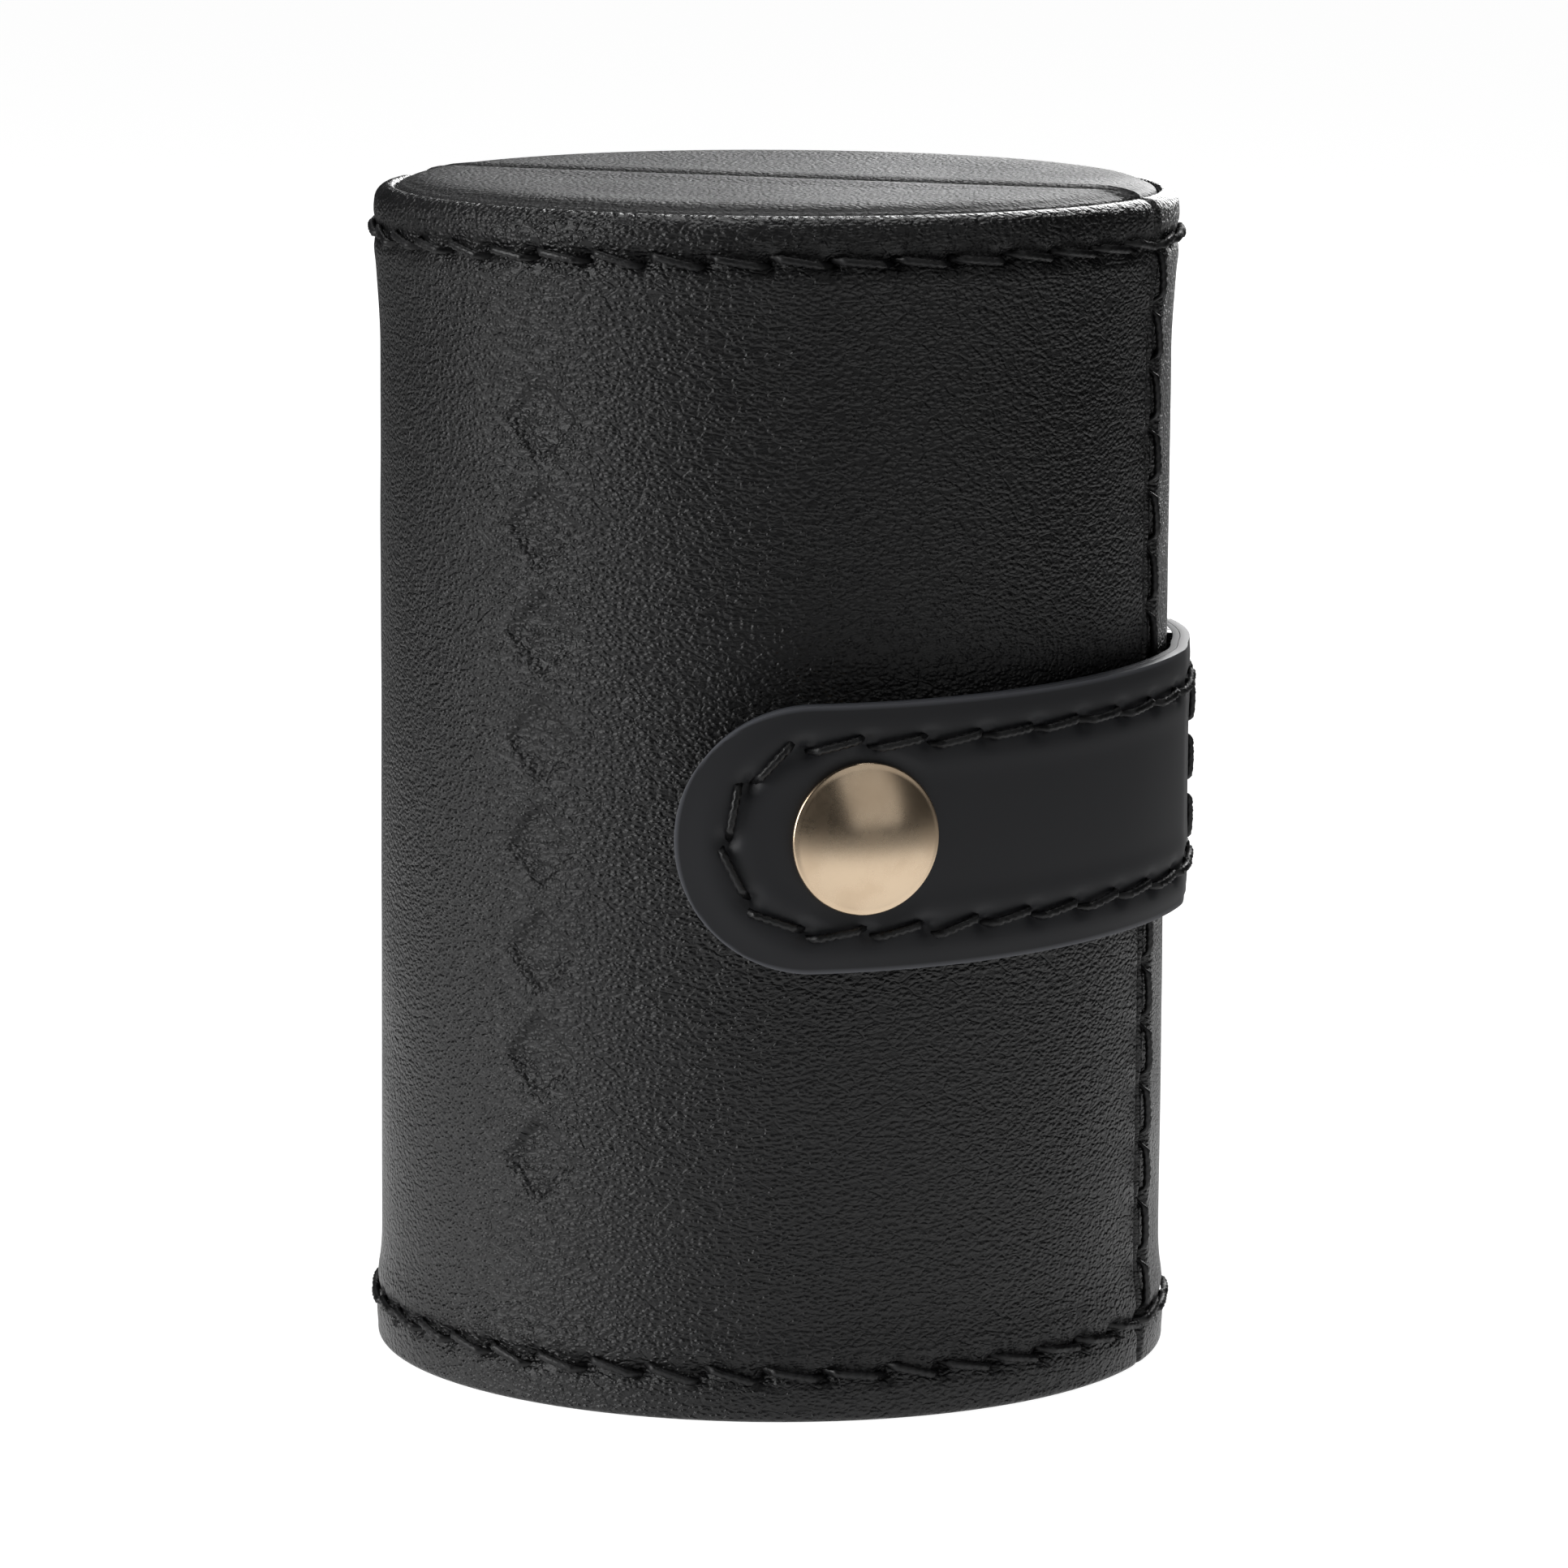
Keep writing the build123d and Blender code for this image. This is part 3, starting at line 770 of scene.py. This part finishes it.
def strap_hug(s):
    """Near its root the strap is drawn closer to the wall than the stiff line it starts from."""
    return 0.45 * mm * ease((9 * mm - s) / (5 * mm))


def strap_row(s, w):
    """Places along and across the strap's row of stitches."""
    if s < row_centre:
        along = s - row_start if w > 0 else row_total - (s - row_start)
        return along, abs(w) - row_half
    return row_straight + row_half * atan2(s - row_centre, w), hypot(s - row_centre, w) - row_half


def strap_layer(name, low, high, pressed):
    """One layer: a flat strip cut with a round tip, given its thickness, then laid on its curve."""
    clear_selection()
    bpy.ops.mesh.primitive_grid_add(x_subdivisions=170, y_subdivisions=52, size=1)
    piece = bpy.context.object
    piece.name = name
    half = strap_width / 2
    whole = strap_length + root_length
    for v in piece.data.vertices:
        s = (v.co.x + 0.5) * whole - root_length
        w = v.co.y * 2 * half
        tip = (s - (strap_length - half)) / half
        if tip > 0:
            across = w / half
            s = strap_length - half + half * tip * sqrt(1 - across * across / 2)
            w = half * across * sqrt(1 - tip * tip / 2)
        v.co = (s, w, high)
    worked(
        piece,
        ("SOLIDIFY", {"thickness": high - low, "offset": -1.0}),
        rounded(0.2 * mm, 3, 30),
    )
    flat_place = piece.data.attributes.new("flat", "FLOAT_VECTOR", "POINT")
    edge = piece.data.attributes.new("edge", "FLOAT", "POINT")
    middle = (low + high) / 2
    for v in piece.data.vertices:
        s, w, offset = v.co
        flat_place.data[v.index].vector = (s, w, offset)
        past_tip = max(s - strap_length + half, 0)
        from_edge = half - hypot(past_tip, w)
        # painted reflection: the cut edges' light colour fades in from the root to full strength
        # towards the tip
        edge_reflection_fade = 0.1 + 0.9 * ease((s - 6 * mm) / (14 * mm))
        edge.data[v.index].value = edge_reflection_fade * ease(1 - (from_edge - 0.08 * mm) / (0.14 * mm))
        sink = 0.0
        if pressed and offset > middle and from_edge > 0.5 * mm:
            along, across = strap_row(s, w)
            if abs(across) < row_reach:
                sink = hole_depth(along, across, strap_step, strap_step / 2, strap_stitches) * 0.8
                sink *= ease(s / (2 * mm))
            sink += 0.04 * mm * noise.noise(Vector((s, w, 0.0)) * 90)
        spot, angle = strap_at(s, offset - sink - strap_hug(s))
        spot = spot + Vector((0, 0, strap_level + w + strap_rise(s)))
        if pressed and offset > middle:
            stand = (spot - snap_middle).dot(snap_out)
            reach = (spot - snap_middle - snap_out * stand).length
            flatten = ease((7.6 * mm - reach) / (1.3 * mm))
            spot -= snap_out * max(stand + 0.31 * mm, 0) * flatten
        v.co = spot
    close_and_smooth(piece, 40)
    return piece


strap_face = strap_layer("strap_face", strap_backing, strap_thick, True)
strap_back = strap_layer("strap_backing_leather", 0.0, strap_backing - 0.01 * mm, False)
# the light blue-grey edge colours of both strap layers are a painted reflection of the left soft
# box
smooth_leather = leather_finish(
    "strap_leather", (0.0045, 0.0047, 0.006), (0.15, 0.155, 0.175), 2600.0, 0.06 * mm,
    place="flat", rough=0.2,
)
backing_finish = leather_finish(
    "strap_backing_leather", (0.02, 0.021, 0.025), (0.075, 0.08, 0.094), 3200.0, 0.04 * mm,
    place="flat", rough=0.3,
)
for layer, finish, cad, slot_name in (
    (strap_face, smooth_leather, "strap_outer", "black_leather"),
    (strap_back, backing_finish, "strap_backing", "backing_leather"),
):
    fitted(layer, finish, cad)
    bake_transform(layer)

# the end under the root, sewn flat to the back half
root_level = strap_level + strap_rise(0)
root_inner = root_radius - strap_hug(0) - 0.01 * mm
root_fold = turned(
    "strap_root_fold",
    [(wall + 0.03 * mm, root_level - strap_width / 2), (root_inner, root_level - strap_width / 2),
     (root_inner, root_level + strap_width / 2), (wall + 0.03 * mm, root_level + strap_width / 2)],
    root_end_angle - root_angle - radians(0.4), 24, start=root_angle + radians(0.4),
)
close_and_smooth(root_fold, 30)
fitted(root_fold, wall_leather, "strap_anchor", "back_half")

strap_stitch = one_stitch(strap_step * overlap)
strap_places = []
for i in range(strap_stitches):
    along = (i + 0.5) * strap_step
    if along < row_straight:
        s, w, slope = row_start + along, row_half, 0.0
    elif along < row_straight + pi * row_half:
        slope = (along - row_straight) / row_half
        s, w = row_centre + row_half * sin(slope), row_half * cos(slope)
    else:
        s, w, slope = row_centre - (along - row_straight - pi * row_half), -row_half, pi
    spot, angle = strap_at(s, strap_thick - 0.1 * mm - strap_hug(s))
    spot = spot + Vector((0, 0, strap_level + w + strap_rise(s)))
    way = heading(angle - pi / 2) * cos(slope) - Vector((0, 0, 1)) * sin(slope)
    strap_places.append(frame_at(spot, way, heading(angle)))
strap_thread = sewn("strap_thread", strap_stitch, strap_places)
fitted(strap_thread, thread_finish, "strap_stitching", "strap")

root_outer = root_radius + strap_thick - strap_hug(0)
root_places = []
inset = 1.6 * mm / root_outer
near, far = root_angle + inset, root_end_angle - inset
across = 2 * row_half / 3
for angle in (near, far):
    for i in (-1, 0, 1):
        centre = heading(angle) * (root_outer - 0.05 * mm) + Vector((0, 0, root_level + i * across))
        root_places.append(frame_at(centre, (0, 0, 1), heading(angle)))
angle = (near + far) / 2
for side in (-1, 1):
    centre = heading(angle) * (root_outer - 0.05 * mm)
    centre += Vector((0, 0, root_level + side * row_half))
    root_places.append(frame_at(centre, heading(angle + pi / 2), heading(angle)))
root_thread = sewn("strap_root_thread", one_stitch(across * overlap), root_places)
fitted(root_thread, thread_finish, "strap_root_stitching", "back_half")


# ---- Snap ----
# A four-part ring snap in plated brass. The cap is a thin spun dome with a rolled rim, polished
# and then lacquered champagne gold. The socket, its spring, the stud and the eyelet are stamped.
cap_radius = 6.0 * mm
cap_edge = 0.28 * mm
cap_rise = 2.3 * mm
dome_rise = cap_rise - 0.55 * mm
sphere = ((cap_radius - cap_edge) ** 2 + dome_rise**2) / (2 * dome_rise)
outline = []
for i in range(25):
    r = (cap_radius - cap_edge) * i / 24
    outline.append((r, cap_rise - sphere + sqrt(sphere * sphere - r * r)))
outline += arc((cap_radius - cap_edge, 0.3 * mm), cap_edge, 62, -90, 8)
outline += [(cap_radius - 0.9 * mm, 0.02 * mm), (0.0, 0.02 * mm)]
cap = turned("snap_cap_dome", outline, 2 * pi, 128, closed=False)
seat = frame_at(snap_middle - snap_out * 0.3 * mm, (0, 0, 1), snap_out)
cap.data.transform(seat)
close_and_smooth(cap, 40)


def plated_metal(name, tint, dull, rough):
    """Plated brass: faint turning marks, soft clouding, and a duller tone in patches."""
    made, tree, shader = surface(name, Metallic=1.0)
    where = own_place(tree)
    cloud = noisy(tree, where, 260.0, 4.0)
    scuff = noisy(tree, where, 3600.0, 3.0)
    color = blend_colors(tree, span(tree, cloud, 0.35, 0.75), (*tint, 1), (*dull, 1))
    dulled = span(tree, cloud, 0.3, 0.7, rough, rough + 0.07)
    painted(tree, shader, color, sums(tree, "MULTIPLY_ADD", scuff, 0.08, dulled))
    bump(tree, shader, scuff, 0.15, 0.01 * mm)
    return made


cap_gold = plated_metal("champagne_gold", (0.88, 0.69, 0.49), (0.80, 0.61, 0.42), 0.2)
fitted(cap, cap_gold, "snap_cap", "strap")
snap_finish = plated_metal("snap_brass", (0.74, 0.57, 0.38), (0.58, 0.44, 0.28), 0.26)
for name in ("snap_socket", "snap_stud", "stud_eyelet"):
    dress(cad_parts[name], snap_finish)
spring_steel = plated_metal("spring_wire", (0.6, 0.6, 0.62), (0.5, 0.5, 0.5), 0.2)
dress(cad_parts["snap_spring"], spring_steel)


# ---- Suede lining ----
# Fine taupe suede on thin card lines each half like a tray: a half tube with half-round ends.
# Its nap lies in soft light and dark patches, and its front edges are rounded over.
def suede_nap():
    """Suede: short fibres brushed this way and that, a little darker where they are pressed."""
    tree, inner, outer = new_group(
        "suede_nap",
        [("Vector", "v"), ("Body", "c"), ("Brushed", "c")],
        [("Color", "c"), ("Roughness", "f"), ("Height", "f")],
    )
    place = inner["Vector"]
    sweep = noisy(tree, place, 120.0, 4.0, Distortion=1.2)
    fibres = noisy(tree, place, 5200.0, 3.0)
    tufts = noisy(tree, place, 1500.0, 2.0)
    brushed = sums(tree, "MULTIPLY", span(tree, sweep, 0.38, 0.62), 0.55)
    tone = sums(tree, "MULTIPLY_ADD", fibres, 0.45, brushed)
    tree.links.new(blend_colors(tree, tone, inner["Body"], inner["Brushed"]), outer["Color"])
    tree.links.new(span(tree, sweep, 0.3, 0.7, 0.82, 0.95), outer["Roughness"])
    tree.links.new(sums(tree, "MULTIPLY_ADD", tufts, 0.5, fibres), outer["Height"])
    return tree


suede_group = suede_nap()


def suede_finish(name, body, brushed):
    made, tree, shader = surface(name, Sheen_Weight=0.25, Sheen_Roughness=0.5)
    nap = tree.nodes.new("ShaderNodeGroup")
    nap.node_tree = suede_group
    tree.links.new(own_place(tree), nap.inputs["Vector"])
    nap.inputs["Body"].default_value = (*body, 1)
    nap.inputs["Brushed"].default_value = (*brushed, 1)
    painted(tree, shader, nap.outputs["Color"], nap.outputs["Roughness"])
    bump(tree, shader, nap.outputs["Height"], 0.6, 0.12 * mm)
    return made


def for_front(piece, name):
    """Turns a back piece into the front half's twin."""
    twin = mirrored(piece, name)
    bpy.data.objects.remove(piece)
    return twin


lining = 0.7 * mm
suede = suede_finish("lining_suede", (0.30, 0.245, 0.195), (0.44, 0.375, 0.31))
for half, body in (("back", "back_half"), ("front", "front_half")):
    cad = half + "_lining"
    low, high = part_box(cad)
    inner = high.x - lining
    flat = low.y if half == "back" else -high.y
    corner = 1.6 * mm
    outline = [(0.0, low.z + lining), (8 * mm, low.z + lining), (18 * mm, low.z + lining)]
    outline += arc((inner - corner, low.z + lining + corner), corner, 270, 360, 6)
    levels = heights(low.z + lining + 4 * mm, high.z - lining - 4 * mm, 0, 3 * mm, 3 * mm)
    outline += [(inner, z) for z in levels]
    outline += arc((inner - corner, high.z - lining - corner), corner, 0, 90, 6)
    outline += [(18 * mm, high.z - lining), (8 * mm, high.z - lining), (0.0, high.z - lining)]
    tray = turned("tray", outline, pi, 72, closed=False)
    for v in tray.data.vertices:
        v.co.y = max(v.co.y, flat)
    bm = bmesh.new()
    bm.from_mesh(tray.data)
    bmesh.ops.recalc_face_normals(bm, faces=bm.faces)
    if sum(f.normal.xy.dot(f.calc_center_median().xy) for f in bm.faces) < 0:
        bmesh.ops.reverse_faces(bm, faces=bm.faces)
    bm.to_mesh(tray.data)
    bm.free()
    worked(
        tray,
        ("SOLIDIFY", {"thickness": lining - 0.01 * mm, "offset": 1.0}),
        rounded(0.2 * mm, 3),
    )
    for v in tray.data.vertices:
        v.co.y = max(v.co.y, flat)
    if half == "front":
        tray = for_front(tray, "front_suede_tray")
    tray.name = half + "_suede_tray"
    close_and_smooth(tray, 40)
    fitted(tray, suede, cad, body)


# ---- Shelves ----
# Half-round boards wrapped in the same suede, with soft edges, are glued across the linings.
for cad, body in (
    ("lower_shelf", "back_half"), ("upper_shelf", "back_half"), ("pocket_shelf", "front_half"),
):
    low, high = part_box(cad)
    flat = low.y if body == "back_half" else -high.y
    board = half_round("shelf_board", hypot(high.x, flat), flat, low.z, high.z, 160)
    bpy.ops.object.mode_set(mode="OBJECT")
    worked(board, rounded(0.5 * mm, 4))
    if body == "front_half":
        board = for_front(board, "shelf")
    board.name = cad + "_suede"
    close_and_smooth(board, 40)
    fitted(board, suede, cad, body)


# ---- Ring rolls ----
# Four logs of soft foam in suede fill the lower part of the front half. A ring is pushed into
# the line between two of them. Each log is pressed out by its foam and flat against the next.
rolls_low, rolls_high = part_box("ring_rolls")
roll_gap = 0.2 * mm
roll_tall = (rolls_high.z - rolls_low.z - 3 * roll_gap) / 4
roll_radius = 28.0 * mm
roll_front = 1.9 * mm
middle = rolls_low.z + roll_tall / 2
slack = 0.45 * mm
log = half_round(
    "log", roll_radius - 0.5 * mm, roll_front,
    rolls_low.z + slack, rolls_low.z + roll_tall - slack, 96,
)
bm = bmesh.from_edit_mesh(log.data)
nose = [
    e for e in bm.edges
    if all(abs(v.co.y - roll_front) < 1e-6 for v in e.verts)
    and abs(e.verts[0].co.z - e.verts[1].co.z) < 1e-6
]
bmesh.ops.bevel(bm, geom=nose, offset=5.2 * mm, segments=8, affect="EDGES", profile=0.5)
bmesh.update_edit_mesh(log.data)
bpy.ops.object.mode_set(mode="OBJECT")
worked(log, ("REMESH", {"mode": "VOXEL", "voxel_size": 1.15 * mm}))
furthest = 0.9 * mm
start = [v.co.copy() for v in log.data.vertices]
cloth = log.modifiers.new("foam", "CLOTH")
cloth.settings.quality = 5
cloth.settings.mass = 0.1
cloth.settings.tension_stiffness = 12
cloth.settings.compression_stiffness = 12
cloth.settings.bending_stiffness = 0.3
cloth.settings.use_pressure = True
cloth.settings.uniform_pressure_force = 4
cloth.settings.effector_weights.gravity = 0
for number in range(1, 21):
    bpy.context.scene.frame_set(number)
bpy.ops.object.modifier_apply(modifier=cloth.name)
bpy.context.scene.frame_set(1)
for v, before in zip(log.data.vertices, start):
    move = v.co - before
    if move.length > furthest:
        move *= furthest / move.length
    v.co = before + move
for v in log.data.vertices:
    reach = hypot(v.co.x, v.co.y)
    if reach > roll_radius:
        v.co.x *= roll_radius / reach
        v.co.y *= roll_radius / reach
    v.co.y = max(v.co.y, 1.2 * mm)
    v.co.z = min(max(v.co.z, middle - roll_tall / 2), middle + roll_tall / 2)
    pucker = noise.noise(v.co * 160) * 0.25 * mm
    v.co.y += pucker * ease((9 * mm - v.co.y) / (6 * mm))
worked(log, ("SUBSURF", {"levels": 1, "render_levels": 1}))
log = for_front(log, "ring_roll_1")
close_and_smooth(log, 180)
roll_suede = suede_finish("roll_suede", (0.33, 0.27, 0.215), (0.47, 0.40, 0.33))
rolls = [log]
for i in range(1, 4):
    roll = log.copy()
    roll.data = log.data.copy()
    roll.name = "ring_roll_" + str(i + 1)
    bpy.context.scene.collection.objects.link(roll)
    roll.data.transform(Matrix.Translation((0, 0, i * (roll_tall + roll_gap))))
    rolls.append(roll)
for roll in rolls:
    fitted(roll, roll_suede, "ring_rolls", "front_half")


# ---- Necklace pocket ----
# Above the rolls a suede panel makes a pocket. Its mouth is gathered a little under a band of
# soft elastic folded over the top edge.
panel_low, panel_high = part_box("jewelry_pocket")
band_low, band_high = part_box("pocket_binding")
gathers = 13


def ripple(x, z):
    """The gathers at the mouth, dying away towards the shelf."""
    up = ease((z - panel_low.z - 3 * mm) / (panel_high.z - panel_low.z - 3 * mm))
    uneven = 1.5 * noise.noise(Vector((x * 60, 0, 3)))
    wave = sin(2 * pi * gathers * x / (panel_high.x - panel_low.x) + uneven)
    return 0.32 * mm * up * wave * ease((panel_high.x - abs(x)) / (3 * mm))


clear_selection()
bpy.ops.mesh.primitive_grid_add(x_subdivisions=150, y_subdivisions=36, size=1)
panel = bpy.context.object
panel.name = "pocket_panel"
for v in panel.data.vertices:
    x = v.co.x * (panel_high.x - panel_low.x)
    z = panel_low.z + (v.co.y + 0.5) * (panel_high.z - panel_low.z)
    belly = 0.35 * mm * sin(pi * (v.co.y + 0.5)) * (1 - (2 * v.co.x) ** 2)
    v.co = (x, (panel_low.y + panel_high.y) / 2 + ripple(x, z) + belly, z)
worked(panel, ("SOLIDIFY", {"thickness": 0.7 * mm, "offset": 0.0}))
close_and_smooth(panel, 50)
fitted(panel, suede, "jewelry_pocket", "front_half")

clear_selection()
bpy.ops.mesh.primitive_cylinder_add(vertices=20, radius=0.5, depth=1, rotation=(0, pi / 2, 0))
band = bpy.context.object
band.name = "pocket_elastic"
bpy.ops.object.transform_apply(location=True, rotation=True, scale=True)
bm = bmesh.new()
bm.from_mesh(band.data)
long_edges = [e for e in bm.edges if abs(e.verts[0].co.x - e.verts[1].co.x) > 0.5]
bmesh.ops.subdivide_edges(bm, edges=long_edges, cuts=170, use_grid_fill=True)
for v in bm.verts:
    x = v.co.x * (band_high.x - band_low.x)
    z = (band_low.z + band_high.z) / 2 + v.co.z * (band_high.z - band_low.z)
    rib = 1 + 0.05 * sin(2 * pi * x / (0.9 * mm))
    y = (band_low.y + band_high.y) / 2 + v.co.y * (band_high.y - band_low.y) * rib
    y += ripple(x, panel_high.z)
    v.co = (x, y, z)
bm.to_mesh(band.data)
bm.free()
close_and_smooth(band, 60)
elastic, tree, shader = surface("pocket_elastic", Sheen_Weight=0.15)
where = own_place(tree)
cords = node(
    tree, "TexWave", {"Vector": where, "Scale": 330.0, "Distortion": 0.6}, bands_direction="Z"
).outputs["Fac"]
weave = node(
    tree, "TexWave", {"Vector": where, "Scale": 420.0, "Distortion": 1.0}, bands_direction="X"
).outputs["Fac"]
knit = sums(tree, "MULTIPLY", cords, sums(tree, "MULTIPLY_ADD", weave, 0.5, 0.5))
tint = blend_colors(tree, knit, (0.17, 0.135, 0.105, 1), (0.34, 0.285, 0.23, 1))
painted(tree, shader, tint, span(tree, knit, 0.0, 1.0, 0.9, 0.7))
bump(tree, shader, knit, 0.6, 0.15 * mm)
fitted(band, elastic, "pocket_binding", "front_half")


# ---- Boards and pads ----
# Grey board stiffens the wall and the ends, and thin white foam pads the lid. The coverings hide
# them, and only their cut edges could ever show.
board_finish, tree, shader = surface("grey_board")
where = own_place(tree)
pulp = noisy(tree, where, 900.0, 5.0)
flecks = node(tree, "TexVoronoi", {"Vector": where, "Scale": 1300.0}).outputs["Distance"]
tone = sums(tree, "MULTIPLY", pulp, span(tree, flecks, 0.05, 0.2))
tint = blend_colors(tree, tone, (0.2, 0.19, 0.175, 1), (0.42, 0.4, 0.37, 1))
painted(tree, shader, tint, span(tree, pulp, 0.3, 0.7, 0.8, 0.95))
bump(tree, shader, pulp, 0.5, 0.05 * mm)
foam_finish, tree, shader = surface("white_foam")
where = own_place(tree)
cells = node(tree, "TexVoronoi", {"Vector": where, "Scale": 2400.0}).outputs["Distance"]
tint = blend_colors(tree, cells, (0.6, 0.59, 0.55, 1), (0.84, 0.83, 0.8, 1))
painted(tree, shader, tint, span(tree, cells, 0.0, 0.6, 0.95, 0.8))
bump(tree, shader, cells, 0.8, 0.1 * mm)
for name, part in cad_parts.items():
    if name.endswith("_board"):
        dress(part, board_finish)
    if name.endswith("_pad"):
        dress(part, foam_finish)


# ---- Floor and light ----
# A plain white floor, with soft boxes to the left, in front on the right, overhead and behind.
far = 30
corners = [(-far, -far, 0), (far, -far, 0), (far, far, 0), (-far, far, 0)]
floor = start_piece("floor", corners, (), [(0, 1, 2, 3)])
floor_finish, tree, shader = surface("floor_white", Roughness=0.9)
shader.inputs["Base Color"].default_value = (0.3, 0.3, 0.3, 1)
seen = node(tree, "LightPath").outputs["Is Camera Ray"]
away = node(tree, "VectorMath", {0: own_place(tree)}, operation="LENGTH").outputs["Value"]
near_case = span(tree, away, 0.1, 0.25, 0.62, 0.0)
glow = node(tree, "Mix", {0: seen, 2: near_case, 3: 0.97}, data_type="FLOAT").outputs[0]
tree.links.new(glow, shader.inputs["Emission Strength"])
shader.inputs["Emission Color"].default_value = (1, 1, 1, 1)
dress(floor, floor_finish)

world = bpy.data.worlds.new("studio")
bpy.context.scene.world = world
world.use_nodes = True
sky = world.node_tree
seen = node(sky, "LightPath").outputs["Is Camera Ray"]
sky.links.new(
    sums(sky, "MULTIPLY_ADD", seen, 0.98, 0.02), sky.nodes["Background"].inputs["Strength"]
)
sky.nodes["Background"].inputs["Color"].default_value = (1, 1, 1, 1)


def soft_box(name, side, up, distance, size, power):
    """An area light aimed at the case. side is degrees to the right of the camera."""
    light = bpy.data.lights.new(name, "AREA")
    light.shape = "RECTANGLE"
    light.size, light.size_y = size
    light.energy = power
    box = bpy.data.objects.new(name, light)
    bpy.context.scene.collection.objects.link(box)
    a = view_heading + radians(side)
    place = Vector((sin(a) * cos(radians(up)), -cos(a) * cos(radians(up)), sin(radians(up))))
    target = Vector((0, 0, tall / 2))
    box.location = target + place * distance
    box.rotation_euler = place.to_track_quat("Z", "Y").to_euler()
    box.visible_camera = False


soft_box("left_box", -72, 12, 0.9, (0.4, 0.9), 6.2)
soft_box("front_box", 42, 30, 0.9, (0.8, 0.9), 0.9)
soft_box("top_box", 180, 75, 0.9, (0.7, 0.7), 3.4)
soft_box("back_box", 166, 20, 1.1, (0.45, 0.7), 6)
